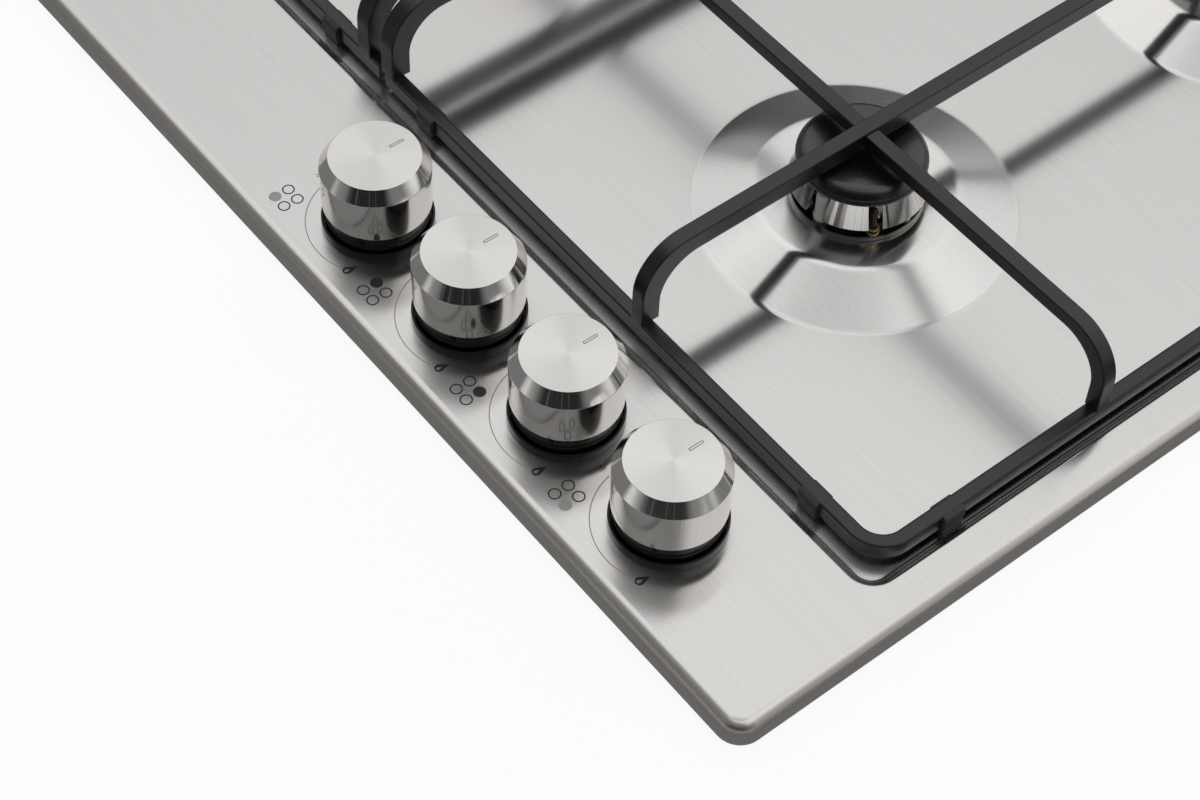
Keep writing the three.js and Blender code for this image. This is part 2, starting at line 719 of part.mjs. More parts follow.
function gasRail() {
  const start = new THREE.Vector3(knobXs[0] - railOverhang, knobY, railZ);
  const corner = new THREE.Vector3(railSideX, knobY, railZ);
  const beforeBend = new THREE.Vector3(railSideX - railBend, knobY, railZ);
  const afterBend = new THREE.Vector3(railSideX, knobY + railBend, railZ);
  const rising = new THREE.Vector3(railSideX, frontBurnerY, railZ);
  const risen = new THREE.Vector3(railSideX, rearBurnerY - railBend, elbowZ);
  const end = new THREE.Vector3(railSideX, elbowY - elbowBodyRadius - pipeSocketDepth / 2, elbowZ);
  const path = new THREE.CurvePath();
  path.add(new THREE.LineCurve3(start, beforeBend));
  path.add(new THREE.QuadraticBezierCurve3(beforeBend, corner, afterBend));
  path.add(new THREE.LineCurve3(afterBend, rising));
  path.add(new THREE.LineCurve3(rising, risen));
  path.add(new THREE.LineCurve3(risen, end));
  const pipe = tube(path, railRadius, railRadius - railWall, 24);
  const endPlug = new THREE.CylinderGeometry(railRadius - railWall / 2, railRadius - railWall / 2,
    2 * railWall, hiddenFacets);
  endPlug.rotateZ(Math.PI / 2).translate(start.x + railWall, knobY, railZ);
  const feet = [(knobXs[0] + knobXs[1]) / 2, (knobXs[2] + knobXs[3]) / 2].map((x) =>
    block(x - railFootLength / 2, x + railFootLength / 2, knobY - railRadius, knobY + railRadius,
      casingSheet + seatGap, railZ - railRadius + railWall / 2));
  return join(pipe, solidOf(endPlug), ...feet);
}

function inletElbow() {
  const bodyZ = elbowFaceHeight + elbowThreadLength;
  const socketEnd = elbowY - elbowBodyRadius - pipeSocketDepth;
  const x = railSideX;
  return cut(
    join(
      moved(disc(elbowThreadRadius, elbowFaceHeight, bodyZ + 1, knobFacets), x, elbowY),
      moved(disc(elbowBodyRadius, bodyZ, bodyZ + elbowBodyLength, 6), x, elbowY),
      rodAlongY(railRadius + 3, x, elbowZ, socketEnd, elbowY)),
    moved(disc(elbowBore, 0, elbowZ), x, elbowY),
    rodAlongY(elbowBore - 1, x, elbowZ, elbowY - elbowBodyRadius, elbowY),
    rodAlongY(railRadius + slideGap, x, elbowZ, socketEnd - 1, socketEnd + pipeSocketDepth));
}

// A pipe from tap `place` to the jet boss of its burner, through points that miss the others.
function feedPipe(place, burner) {
  const outletX = knobXs[place] - tapOutletOffset;
  const outletY = knobY + tapBlockLength / 2 + tapOutletLength;
  const bossY = burner.y - cupRadius(burner.cap) - jetBossLength;
  const betweenY = frontBurnerY + burnerSpanY * 0.58;
  const near = (x, y) => new THREE.Vector3(x, y, (pipeZ + jetZ) / 2);
  const middle = {
    front_left: [
      near(outletX - pipeBow, outletY + pipeTapRun), near(burner.x + pipeBow, bossY - pipeJetRun)],
    back_left: [near(outletX - pipeBow, frontBurnerY), near(burner.x + 2 * pipeBow, betweenY)],
    back_right: [
      near(burner.x - pipeBow, frontBurnerY - pipeCrossing), near(burner.x - pipeBow, betweenY)],
    front_right: [near((outletX + burner.x) / 2, (outletY + bossY) / 2)],
  }[burner.name];
  const run = 5 * pipeRadius;
  const path = new THREE.CatmullRomCurve3([
    new THREE.Vector3(outletX, outletY - pipeSocketDepth + seatGap, pipeZ),
    new THREE.Vector3(outletX, outletY + pipeMouth, pipeZ),
    new THREE.Vector3(outletX, outletY + run, pipeZ),
    ...middle,
    new THREE.Vector3(burner.x, bossY - run, jetZ),
    new THREE.Vector3(burner.x, bossY - pipeMouth, jetZ),
    new THREE.Vector3(burner.x, bossY + pipeSocketDepth, jetZ),
  ], false, 'centripetal');
  return tube(path, pipeRadius, pipeBore, burner.name === 'front_right' ? 12 : 18);
}

// ---------------------------------------------------------------- ignition

function sparkGenerator() {
  const left = knobXs[0] - knobPitch - sparkBoxGap - sparkBoxWidth;
  const front = knobY - tapBlockLength / 2;
  const low = casingSheet + seatGap;
  const top = low + sparkBoxHeight;
  const plan = roundedRectangle(left, left + sparkBoxWidth, front, front + sparkBoxLength,
    sparkBoxCorner);
  const posts = burners.map((_, place) => moved(
    disc(sparkPostRadius, top - sparkBoxEdge, top + sparkPostHeight),
    left + sparkBoxWidth * (place + 0.5) / 4, front + sparkBoxLength / 2));
  return join(raised(plan, low, top, sparkBoxEdge), ...posts);
}

function leadGrommet() {
  const wallY = casingLength / 2;
  const half = grommetFlange;
  const flangeRadius = grommetRadius + half;
  return cut(
    join(
      rodAlongY(grommetRadius, grommetX, grommetZ, wallY - casingSheet - half, wallY + half),
      rodAlongY(flangeRadius, grommetX, grommetZ, wallY - casingSheet - half - seatGap,
        wallY - casingSheet - seatGap),
      rodAlongY(flangeRadius, grommetX, grommetZ, wallY + seatGap, wallY + half + seatGap)),
    rodAlongY(grommetBore, grommetX, grommetZ, wallY - 4 * half, wallY + 4 * half));
}

// ---------------------------------------------------------------- assembly

addPart('top_plate', topPlate(), brushedSteel);
addPart('bottom_casing', bottomCasing(), zincSteel);
addPart('edge_seal', edgeSeal(), foam);
addPart('gas_rail', gasRail(), zincSteel);
addPart('inlet_elbow', inletElbow(), brass);
addPart('spark_generator', sparkGenerator(), blackPlastic);
addPart('lead_grommet', leadGrommet(), blackPlastic);
addPart('pan_support_left', panSupport(-1, leftRailInset), blackEnamel);
addPart('pan_support_right', panSupport(1, rightRailInset), blackEnamel);

burners.forEach((burner, place) => {
  const { name, cap } = burner;
  const burnerGroup = groupAt(burner.x, burner.y);
  addPart(`burner_base_${name}`, burnerBase(cap), castAlloy, burnerGroup);
  addPart(`burner_crown_${name}`, burnerCrown(cap), aluminium, burnerGroup);
  addPart(`burner_cap_${name}`, burnerCap(cap), blackEnamel, burnerGroup);
  addPart(`spark_electrode_${name}`, sparkElectrode(cap), ceramic, burnerGroup);
  addPart(`flame_sensor_${name}`, flameSensor(cap), brass, burnerGroup);

  const knobGroup = groupAt(knobXs[place], knobY);
  addPart(`tap_body_${name}`, tapBody(), brass, knobGroup);
  addPart(`tap_plug_${name}`, tapPlug(), brass, knobGroup);
  addPart(`tap_spindle_${name}`, tapSpindle(), zincSteel, knobGroup);
  addPart(`knob_core_${name}`, knobCore(), blackPlastic, knobGroup);
  addPart(`knob_shell_${name}`, knobShell(), satinMetal, knobGroup);
  addPart(`knob_bezel_${name}`, knobBezel(), blackPlastic, knobGroup);

  addPart(`feed_pipe_${name}`, feedPipe(place, burner), aluminium);
});

export default cooktop;
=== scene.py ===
"""Visual model of a four-burner gas cooktop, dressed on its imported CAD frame.

All lengths are metres. +X is to the user's right, +Y away from the user and +Z up.
The CAD origin is the middle of the casing's underside.
"""

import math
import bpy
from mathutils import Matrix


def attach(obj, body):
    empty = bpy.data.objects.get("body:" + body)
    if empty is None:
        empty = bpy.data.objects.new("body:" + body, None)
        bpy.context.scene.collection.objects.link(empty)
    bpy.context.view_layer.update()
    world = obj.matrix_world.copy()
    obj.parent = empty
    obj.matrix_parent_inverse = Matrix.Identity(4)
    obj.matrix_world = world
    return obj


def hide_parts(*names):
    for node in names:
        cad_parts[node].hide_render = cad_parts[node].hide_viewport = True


bl_info = {
    "name": "Gas Cooktop",
    "version": (1, 0, 0),
    "blender": (4, 5, 0),
    "location": "3D View > Sidebar > Cooktop",
    "description": "Builds the plate, burners, pan supports and knobs of a gas cooktop",
    "category": "Add Mesh",
}

import bpy
from bpy.props import FloatProperty, FloatVectorProperty, IntProperty, PointerProperty
from bpy.types import Operator, Panel, PropertyGroup
from mathutils import Matrix, Vector
from mathutils.geometry import tessellate_polygon

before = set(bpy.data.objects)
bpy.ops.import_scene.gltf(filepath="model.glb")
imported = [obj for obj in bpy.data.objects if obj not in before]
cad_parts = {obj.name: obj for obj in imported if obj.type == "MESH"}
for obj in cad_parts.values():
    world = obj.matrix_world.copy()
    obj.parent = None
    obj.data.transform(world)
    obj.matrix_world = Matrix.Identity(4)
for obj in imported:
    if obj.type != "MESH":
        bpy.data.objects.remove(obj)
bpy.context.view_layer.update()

MM = 0.001

# Burner name, centre and cap radius, in the order of their knobs from left to right.
BURNERS = {
    "front_left": (-0.150, -0.077, 0.0475),
    "back_left": (-0.150, 0.132, 0.0350),
    "back_right": (0.150, 0.132, 0.0350),
    "front_right": (0.150, -0.077, 0.0238),
}


def shown(text):
    """Linear colour of a hexadecimal screen colour."""
    values = [int(text[i:i + 2], 16) / 255 for i in (0, 2, 4)]
    return tuple(v / 12.92 if v < 0.04045 else ((v + 0.055) / 1.055) ** 2.4 for v in values)


def length(name, description, default):
    return FloatProperty(name=name, description=description, default=default, min=0.0, precision=5,
                         unit="LENGTH", subtype="DISTANCE")


def angle(name, description, degrees):
    return FloatProperty(name=name, description=description, default=math.radians(degrees),
                         unit="ROTATION", subtype="ANGLE")


def colour(name, description, default):
    return FloatVectorProperty(name=name, description=description, default=shown(default), size=3,
                               min=0.0, max=1.0, subtype="COLOR")


# ---------------------------------------------------------------- settings


class PlateSizes(PropertyGroup):
    """Sizes of the pressed steel plate."""

    width: length("Width", "Plate from side to side", 0.590)
    depth: length("Depth", "Plate from front to back", 0.510)
    sheet: length("Sheet", "Thickness of the steel", 0.001)
    worktop: length("Worktop", "Height of the worktop, where the rim ends", 0.040)
    deck: length("Deck", "Height of the plate's upper face", 0.0495)
    edge_radius: length("Edge radius", "Bend between deck and rim", 0.005)
    corner_radius: length("Corner radius", "Corners of the plate in plan", 0.009)
    well_side: length("Well side", "From the plate's side to the well", 0.015)
    well_front: length("Well front", "From the plate's front to the well", 0.068)
    well_depth: length("Well depth", "Drop from deck to well", 0.003)
    well_radius: length("Well radius", "Corners of the well in plan", 0.010)
    seat_foot: length("Seat foot", "From the cap's edge to the foot of the burner seat", 0.0372)
    seat_top: length("Seat top", "From the cap's edge to the edge of the seat's flat top", 0.0127)
    seat_rise: length("Seat rise", "Height of the burner seat above the well", 0.008)


class BurnerSizes(PropertyGroup):
    """Sizes that the four burners share."""

    port_count: IntProperty(name="Flame ports", description="Ports of the largest crown", default=40, min=8)
    port_width: length("Port width", "Width of one flame port", 0.0012)
    screw_radius: length("Screw radius", "Head of the screws in the burner base", 0.0021)
    electrode_radius: length("Electrode radius", "Ceramic body of the spark electrode", 0.0026)
    electrode_angle: angle("Electrode angle", "Place of the electrode round the burner", -81)
    sensor_angle: angle("Sensor angle", "Place of the flame sensor round the burner", -28)


class SupportSizes(PropertyGroup):
    """Sizes of the pan supports."""

    strip_width: length("Strip width", "Width of the low frame", 0.0055)
    strip_top: length("Strip top", "Top of the low frame", 0.0555)
    strip_height: length("Strip height", "Height of the low frame", 0.0068)
    corner_radius: length("Corner radius", "Outer corner of the low frame", 0.014)
    bar_width: length("Bar width", "Width of the raised bars", 0.006)
    rail_width: length("Rail width", "Width of the raised bar beside the seam", 0.0076)
    bar_edge: length("Bar edge", "Rounding of the bars' edges", 0.0006)
    long_top: length("Long bar top", "Top of the bars from front to back", 0.088)
    long_height: length("Long bar height", "Height of the bars from front to back", 0.008)
    cross_top: length("Cross bar top", "Top of the bars from side to side", 0.087)
    cross_height: length("Cross bar height", "Height of the bars from side to side", 0.0058)


class KnobSizes(PropertyGroup):
    """Sizes of the four knobs, with heights above the deck."""

    pitch: length("Pitch", "Spacing of the knobs", 0.0545)
    front_setback: length("Front setback", "From the plate's front to the knobs", 0.0353)
    top_radius: length("Top radius", "Flat disc on top", 0.0164)
    shoulder_radius: length("Shoulder radius", "Widest part of the metal shell", 0.0198)
    foot_radius: length("Foot radius", "Lower edge of the metal shell", 0.0196)
    height: length("Height", "Top of the knob", 0.0335)
    shoulder_height: length("Shoulder height", "Lower edge of the chamfer", 0.0283)
    foot_height: length("Foot height", "Lower edge of the metal shell", 0.011)
    skirt_radius: length("Skirt radius", "Black skirt under the shell", 0.0189)
    bezel_radius: length("Bezel radius", "Black ring on the deck", 0.0203)
    bezel_height: length("Bezel height", "Height of the black ring", 0.0037)


class Finishes(PropertyGroup):
    """Colours of the parts."""

    steel: colour("Steel", "Brushed plate", "D3D1CF")
    seat: colour("Burner seat", "Polished seats of the burners", "E0DEDC")
    # The rim's colour is a little darker than the steel's: painted shade for the dark surround that the
    # turned-down edge reflects.
    rim: colour("Rim", "Turned-down edge of the plate", "CFCBC6")
    knob: colour("Knob metal", "Knob shells and burner crowns", "E6E4E1")
    enamel: colour("Enamel", "Pan supports", "101011")
    cap: colour("Burner cap", "Matt enamel of the caps", "080809")
    plastic: colour("Plastic", "Knob skirts and bezels", "050505")
    rubber: colour("Rubber", "Feet of the pan supports", "2C302D")
    ceramic: colour("Ceramic", "Spark electrodes", "A9A8A5")
    brass: colour("Brass", "Sensor collars and gas fittings", "A08A66")
    print: colour("Print", "Marks on the deck", "171818")
    zinc: colour("Zinc", "Casing and gas rail", "9FA2A2")


class StageSettings(PropertyGroup):
    """Camera and light."""

    lens: FloatProperty(name="Lens", description="Focal length in millimetres on a 36 mm sensor",
                        default=78.53, min=10.0)
    fill: FloatProperty(name="Fill", description="Strength of the white room for matt surfaces",
                        default=0.62, min=0.0)
    key: FloatProperty(name="Key", description="Power of the soft overhead lamp",
                       default=30.0, min=0.0, unit="POWER")
    screen: FloatProperty(name="Dark screen", description="Brightness of the screen that shiny surfaces see",
                          default=0.015, min=0.0, max=1.0)


# ---------------------------------------------------------------- materials


def add_node(tree, kind, inputs=None, **settings):
    """A new node. Each of its inputs is given a value, or another node's output to follow."""
    node = tree.nodes.new(kind)
    for key, value in settings.items():
        setattr(node, key, value)
    for socket, value in (inputs or {}).items():
        if isinstance(value, bpy.types.NodeSocket):
            tree.links.new(value, node.inputs[socket])
        else:
            node.inputs[socket].default_value = value
    return node


def map_range(tree, value, start, end, low, high, **settings):
    """A value between `start` and `end`, spread between `low` and `high`."""
    return add_node(tree, "ShaderNodeMapRange", {
        "Value": value, "From Min": start, "From Max": end, "To Min": low, "To Max": high,
    }, **settings).outputs["Result"]


def new_material(name, base, roughness, metallic=0.0, **sockets):
    """A material whose constants stand on the shader's own sockets."""
    material = bpy.data.materials.new(name)
    material.use_nodes = True
    material.diffuse_color = (*base, 1.0)
    shader = material.node_tree.nodes["Principled BSDF"]
    values = {"Base Color": (*base, 1.0), "Roughness": roughness, "Metallic": metallic}
    values.update({socket.replace("_", " "): value for socket, value in sockets.items()})
    for socket, value in values.items():
        shader.inputs[socket].default_value = value
    return material


def feed(material, output, socket):
    """Leads a node's output to a socket of the material's shader."""
    tree = material.node_tree
    tree.links.new(output, tree.nodes["Principled BSDF"].inputs[socket])


def noise(material, scale, stretch=(1.0, 1.0, 1.0), detail=3.0, voronoi=False, coordinates=None):
    """Value of a noise on the object's own coordinates."""
    tree = material.node_tree
    coordinates = coordinates or add_node(tree, "ShaderNodeTexCoord").outputs["Object"]
    mapping = add_node(tree, "ShaderNodeMapping", {"Scale": stretch, "Vector": coordinates})
    texture = add_node(tree, "ShaderNodeTexVoronoi" if voronoi else "ShaderNodeTexNoise", {
        "Scale": scale, "Detail": 0.0 if voronoi else detail, "Vector": mapping.outputs["Vector"],
    })
    return texture.outputs["Color" if voronoi else 0]


def remapped(material, value, low, high):
    """A noise spread between two numbers. Nearly all of a noise lies between 0.3 and 0.7."""
    return map_range(material.node_tree, value, 0.3, 0.7, low, high)


def tint(material, value, dark, light):
    """Base colour between a darker and a lighter multiple of itself, by a pattern."""
    tree = material.node_tree
    base = tree.nodes["Principled BSDF"].inputs["Base Color"].default_value[:3]
    darker, lighter = ((*(min(1.0, part * share) for part in base), 1.0) for share in (dark, light))
    # Sockets 0, 6 and 7 are the factor and the two colours, and output 2 is the mixed colour.
    mix = add_node(tree, "ShaderNodeMix", {0: remapped(material, value, 0.0, 1.0), 6: darker, 7: lighter},
                   data_type="RGBA")
    feed(material, mix.outputs[2], "Base Color")


def vary_roughness(material, value, low, high):
    """Roughness between two numbers, by a pattern."""
    feed(material, remapped(material, value, low, high), "Roughness")


def emboss(material, value, height):
    """Fine relief from a pattern."""
    relief = {"Strength": 1.0, "Distance": height, "Height": value}
    feed(material, add_node(material.node_tree, "ShaderNodeBump", relief).outputs["Normal"], "Normal")


def steer(material, direction=None, uv_map=None):
    """Sets the direction across the brush lines, in which reflections are drawn out."""
    tree = material.node_tree
    if uv_map:
        across = add_node(tree, "ShaderNodeTangent", direction_type="UV_MAP", uv_map=uv_map)
    else:
        across = add_node(tree, "ShaderNodeCombineXYZ", dict(zip("XYZ", direction)))
    feed(material, across.outputs[0], "Tangent")


def brushed_steel(name, base):
    """Steel with brush lines along X."""
    material = new_material(name, base, 0.18, 1.0, Anisotropic=0.93)
    lines = noise(material, 1.0, (14.0, 2600.0, 2600.0), 2.0)
    broad = noise(material, 3.2, (0.6, 1.0, 1.0), 2.0)
    tint(material, lines, 0.965, 1.03)
    vary_roughness(material, broad, 0.17, 0.195)
    emboss(material, lines, 0.0000015)
    steer(material, (0.0, 1.0, 0.0))
    return material


def rim_steel(name, base):
    """The turned-down edge, brushed along its length. Its colour is a little darker than the deck's steel:
    painted shade for the dark surround that the edge reflects.
    """
    material = new_material(name, base, 0.3, 1.0)
    tint(material, noise(material, 1.0, (9.0, 9.0, 2400.0), 2.0), 0.93, 1.06)
    vary_roughness(material, noise(material, 12.0), 0.27, 0.34)
    return material


def spun_metal(name, base, roughness, anisotropy, streak):
    """Metal turned on a lathe, with fine rings, and rays of lighter and darker colour round the axis that
    follow the turning: painted reflection streaks.
    """
    material = new_material(name, base, roughness, 1.0, Anisotropic=anisotropy)
    turning = add_node(material.node_tree, "ShaderNodeUVMap", uv_map="turning").outputs["UV"]
    rays = noise(material, 1.0, (0.0, 46.0, 1.0), 3.0, coordinates=turning)
    rings = noise(material, 1.0, (5200.0, 0.0, 1.0), 1.0, coordinates=turning)
    # The rays lighten and darken the colour round the axis: painted reflection streaks, as strong as
    # `streak`.
    tint(material, rays, 1.0 - streak, 1.0 + 0.4 * streak)
    vary_roughness(material, rings, roughness * 0.9, roughness * 1.12)
    steer(material, uv_map="turning")
    return material


def grained(name, base, roughness, metallic, scale, relief, shade=0.12, **sockets):
    """A coating or casting with a fine grain."""
    material = new_material(name, base, roughness, metallic, **sockets)
    grain = noise(material, scale, detail=4.0)
    tint(material, noise(material, scale * 0.06, detail=3.0), 1.0 - shade, 1.0 + shade)
    vary_roughness(material, grain, roughness * 0.88, min(1.0, roughness * 1.12))
    emboss(material, grain, relief)
    return material


def galvanised(name, base):
    """Zinc-coated sheet with its crystal pattern."""
    material = new_material(name, base, 0.42, 1.0)
    crystals = noise(material, 120.0, voronoi=True)
    tint(material, crystals, 0.86, 1.1)
    vary_roughness(material, crystals, 0.34, 0.5)
    emboss(material, noise(material, 400.0), 0.00002)
    return material


FINISHES = {}


def make_finishes(pick):
    """Every material of the object, by the name it is used under."""
    return {
        "plate": brushed_steel("Brushed steel", pick.steel),
        "seat": brushed_steel("Pressed steel", pick.seat),
        "rim": rim_steel("Steel edge with painted shade", pick.rim),
        # The last number of each turned finish is the strength of its painted reflection streaks.
        "knob_top": spun_metal("Spun knob top", pick.knob, 0.36, 0.9, 0.03),
        "knob_side": spun_metal("Turned knob side", pick.knob, 0.09, 0.75, 0.09),
        "crown": spun_metal("Turned crown", pick.knob, 0.1, 0.7, 0.22),
        "enamel": grained("Fine-textured enamel", pick.enamel, 0.3, 0.0, 2600.0, 0.00005,
                          Specular_IOR_Level=0.58),
        "cap": grained("Matt cap enamel", pick.cap, 0.26, 0.0, 3200.0, 0.00002, Specular_IOR_Level=0.9),
        "plastic": grained("Black plastic", pick.plastic, 0.17, 0.0, 1800.0, 0.000008,
                           Specular_IOR_Level=0.28),
        "rubber": grained("Rubber", pick.rubber, 0.6, 0.0, 900.0, 0.00003),
        # The casting's dark grey is partly its own cast tone and partly painted shade, standing in for the
        # shade under the crown's skirt.
        "base": grained("Burner base casting with painted shade", shown("6A6966"), 0.16, 1.0, 900.0, 0.000002),
        "ceramic": grained("Electrode ceramic", pick.ceramic, 0.22, 0.0, 500.0, 0.000006, 0.05),
        "sensor": grained("Oxidised sensor rod", shown("4A443C"), 0.3, 1.0, 700.0, 0.00001, 0.25),
        "collar": grained("Brass collar", pick.brass, 0.22, 1.0, 700.0, 0.000006, 0.15),
        "screw": grained("Screw steel", shown("D8D8D6"), 0.2, 1.0, 900.0, 0.000004, 0.08),
        "mark": grained("Printed mark", pick.print, 0.5, 0.0, 1500.0, 0.000002, 0.1),
        "fine_mark": grained("Etched line", shown("8E8D8B"), 0.5, 0.0, 1500.0, 0.000002, 0.1),
        "zinc": galvanised("Galvanised sheet", pick.zinc),
        "foam": grained("Foam seal", shown("3A3A3A"), 0.9, 0.0, 1400.0, 0.0002, 0.3),
        "rail": grained("Plated tube", pick.zinc, 0.35, 1.0, 500.0, 0.00001, 0.08),
        "brass": grained("Cast brass", pick.brass, 0.36, 1.0, 600.0, 0.00003, 0.12),
        "pipe": grained("Drawn aluminium", shown("C6C7C6"), 0.33, 1.0, 500.0, 0.00001, 0.08),
    }


def finish(name):
    """The material of that name, made on first use with all the others."""
    if not FINISHES:
        FINISHES.update(make_finishes(bpy.context.scene.cooktop_finishes))
    return FINISHES[name]


# ---------------------------------------------------------------- shapes

AT_AXIS = 1e-7  # A radius below this is a point on the axis.
BAR_EDGE_STEPS = 3  # Steps in the rounded edge of a flat bar.


def arc(x, y, radius, first, last, steps):
    """Points along an arc, with its angles in degrees."""
    turns = (math.radians(first + (last - first) * i / steps) for i in range(steps + 1))
    return [(x + radius * math.cos(turn), y + radius * math.sin(turn)) for turn in turns]


def circle(x, y, radius, steps):
    turns = (2 * math.pi * i / steps for i in range(steps))
    return [(x + radius * math.cos(turn), y + radius * math.sin(turn)) for turn in turns]


def rounded_rectangle(low_x, high_x, low_y, high_y, radius, steps):
    """A rectangle with round corners, anticlockwise from its front right corner."""
    corners = ((high_x - radius, low_y + radius, -90), (high_x - radius, high_y - radius, 0),
               (low_x + radius, high_y - radius, 90), (low_x + radius, low_y + radius, 180))
    return [point for x, y, first in corners for point in arc(x, y, radius, first, first + 90, steps)]


def softened(corners, bend, steps):
    """A line of corners, each inner one turned by a smooth bend. A third number is a corner's own bend."""
    line = [tuple(corners[0][:2])]
    for before, corner, after in zip(corners, corners[1:], corners[2:]):
        own = corner[2] if len(corner) > 2 else bend
        before, corner, after = (Vector(point[:2]) for point in (before, corner, after))
        # A bend takes at most just under half of each side, so that neighbours never meet.
        reach = min(own, 0.48 * (before - corner).length, 0.48 * (after - corner).length)
        start = corner + (before - corner).normalized() * reach
        end = corner + (after - corner).normalized() * reach
        for i in range(steps + 1):
            t = i / steps
            line.append(tuple(start * (1 - t) ** 2 + corner * (2 * t * (1 - t)) + end * t ** 2))
    line.append(tuple(corners[-1][:2]))
    return line


def section(base, corners, bend, steps=3):
    """A softened line of corners, in millimetres above a base height in metres."""
    line = [(corner[0] * MM, base + corner[1] * MM, *(own * MM for own in corner[2:])) for corner in corners]
    return softened(line, bend * MM, steps)


def drawn_in(outline, distance):
    """A closed anticlockwise outline, moved inwards by a distance."""
    moved = []
    for before, corner, after in zip(outline[-1:] + outline[:-1], outline, outline[1:] + outline[:1]):
        before, corner, after = Vector(before), Vector(corner), Vector(after)
        coming, going = (corner - before).normalized(), (after - corner).normalized()
        inward = Vector((-coming.y - going.y, coming.x + going.x))
        # At a sharp corner the exact distance would grow without end, so the divisor has a least value.
        moved.append(tuple(corner + inward * (distance / max(0.4, 1 + coming.dot(going)))))
    return moved


class Shell:
    """Points and faces of one mesh.

    Faces point outwards when rings run anticlockwise and are joined upwards.
    """

    def __init__(self):
        self.points = []
        self.faces = []
        self.finishes = []

    def place(self, points):
        """Adds points and returns their numbers."""
        start = len(self.points)
        self.points.extend(tuple(point) for point in points)
        return list(range(start, len(self.points)))

    def ring(self, outline, z):
        return self.place((x, y, z) for x, y in outline)

    def face(self, corners, finish_index=0):
        self.faces.append(tuple(corners))
        self.finishes.append(finish_index)

    def bridge(self, first, second, finish_index=0, closed=True):
        """A band of faces between two rings of equal count."""
        count = len(first)
        for i in range(count if closed else count - 1):
            j = (i + 1) % count
            self.face((first[i], first[j], second[j], second[i]), finish_index)

    def flat(self, outer, holes=(), finish_index=0, normal=(0, 0, 1)):
        """A flat face with holes, turned to face along `normal`."""
        loops = [outer, *holes]
        numbers = [number for loop in loops for number in loop]
        normal = Vector(normal)
        for corners in tessellate_polygon([[Vector(self.points[n]) for n in loop] for loop in loops]):
            corners = [numbers[corner] for corner in corners]
            a, b, c = (Vector(self.points[n]) for n in corners)
            if (b - a).cross(c - a).dot(normal) < 0:
                corners.reverse()
            self.face(corners, finish_index)

    def turned(self, x, y, profile, steps=96, finishes=None):
        """A (radius, height) line turned about a vertical axis. If it returns to its start, it is a ring.

        `finishes` holds the finish number of each band.
        """
        rings = []
        for radius, z in profile:
            if radius < AT_AXIS:
                rings.append(self.place([(x, y, z)]))
            else:
                rings.append(self.ring(circle(x, y, radius, steps), z))
        if tuple(profile[0]) == tuple(profile[-1]) and profile[0][0] > AT_AXIS:
            rings[-1] = rings[0]
        for band, (first, second) in enumerate(zip(rings, rings[1:])):
            index = finishes[band] if finishes else 0
            if len(first) == len(second) == 1:
                continue
            if len(first) == 1:
                for i in range(steps):
                    self.face((first[0], second[(i + 1) % steps], second[i]), index)
            elif len(second) == 1:
                for i in range(steps):
                    self.face((first[i], first[(i + 1) % steps], second[0]), index)
            else:
                self.bridge(first, second, index)

    def slab(self, outline, width, edge, put, across):
        """A flat bar of the given side view and width, with rounded edges.

        `put(s, z, t)` places a point of the side view at `t` from the middle of the width, and `across` is
        the direction in which `t` grows.
        """
        turns = [math.pi / 2 * i / BAR_EDGE_STEPS for i in range(BAR_EDGE_STEPS + 1)]
        near = [(-width / 2 + edge * (1 - math.cos(turn)), edge * (1 - math.sin(turn))) for turn in turns]
        stations = near + [(-offset, draw) for offset, draw in reversed(near)]
        rings = []
        for offset, draw in stations:
            loop = drawn_in(outline, draw) if draw > 1e-9 else outline
            rings.append(self.place(put(s, z, offset) for s, z in loop))
        for first, second in zip(rings, rings[1:]):
            self.bridge(first, second)
        self.flat(rings[0], normal=-Vector(across))
        self.flat(rings[-1], normal=across)

    def add(self, other, matrix=None):
        """Another shell's faces, moved by a matrix."""
        start = len(self.points)
        self.points.extend(tuple(matrix @ Vector(p)) if matrix else p for p in other.points)
        self.faces.extend(tuple(n + start for n in face) for face in other.faces)
        self.finishes.extend(other.finishes)

    def mirror(self):
        """Swaps left and right."""
        self.points = [(-x, y, z) for x, y, z in self.points]
        self.faces = [tuple(reversed(face)) for face in self.faces]

    def mesh(self, name):
        mesh = bpy.data.meshes.new(name)
        mesh.from_pydata(self.points, [], self.faces)
        mesh.polygons.foreach_set("material_index", self.finishes)
        mesh.validate()
        return mesh


def turning_map(mesh, x, y):
    """A UV map round the axis at (x, y) for turned metal. U runs across the tool marks and V along them."""
    layer = mesh.uv_layers.new(name="turning")
    points = [vertex.co for vertex in mesh.vertices]
    for polygon in mesh.polygons:
        turns = []
        for loop in polygon.loop_indices:
            point = points[mesh.loops[loop].vertex_index]
            offset = (point.x - x, point.y - y)
            turn = math.atan2(offset[1], offset[0]) / (2 * math.pi) if math.hypot(*offset) > 1e-6 else None
            turns.append((loop, turn, math.hypot(*offset) - point.z))
        known = [turn for _, turn, _ in turns if turn is not None]
        base = known[0]
        known = [turn - round(turn - base) for turn in known]
        middle = sum(known) / len(known)
        for loop, turn, across in turns:
            around = middle if turn is None else turn - round(turn - base)
            layer.data[loop].uv = (across, around * 4)


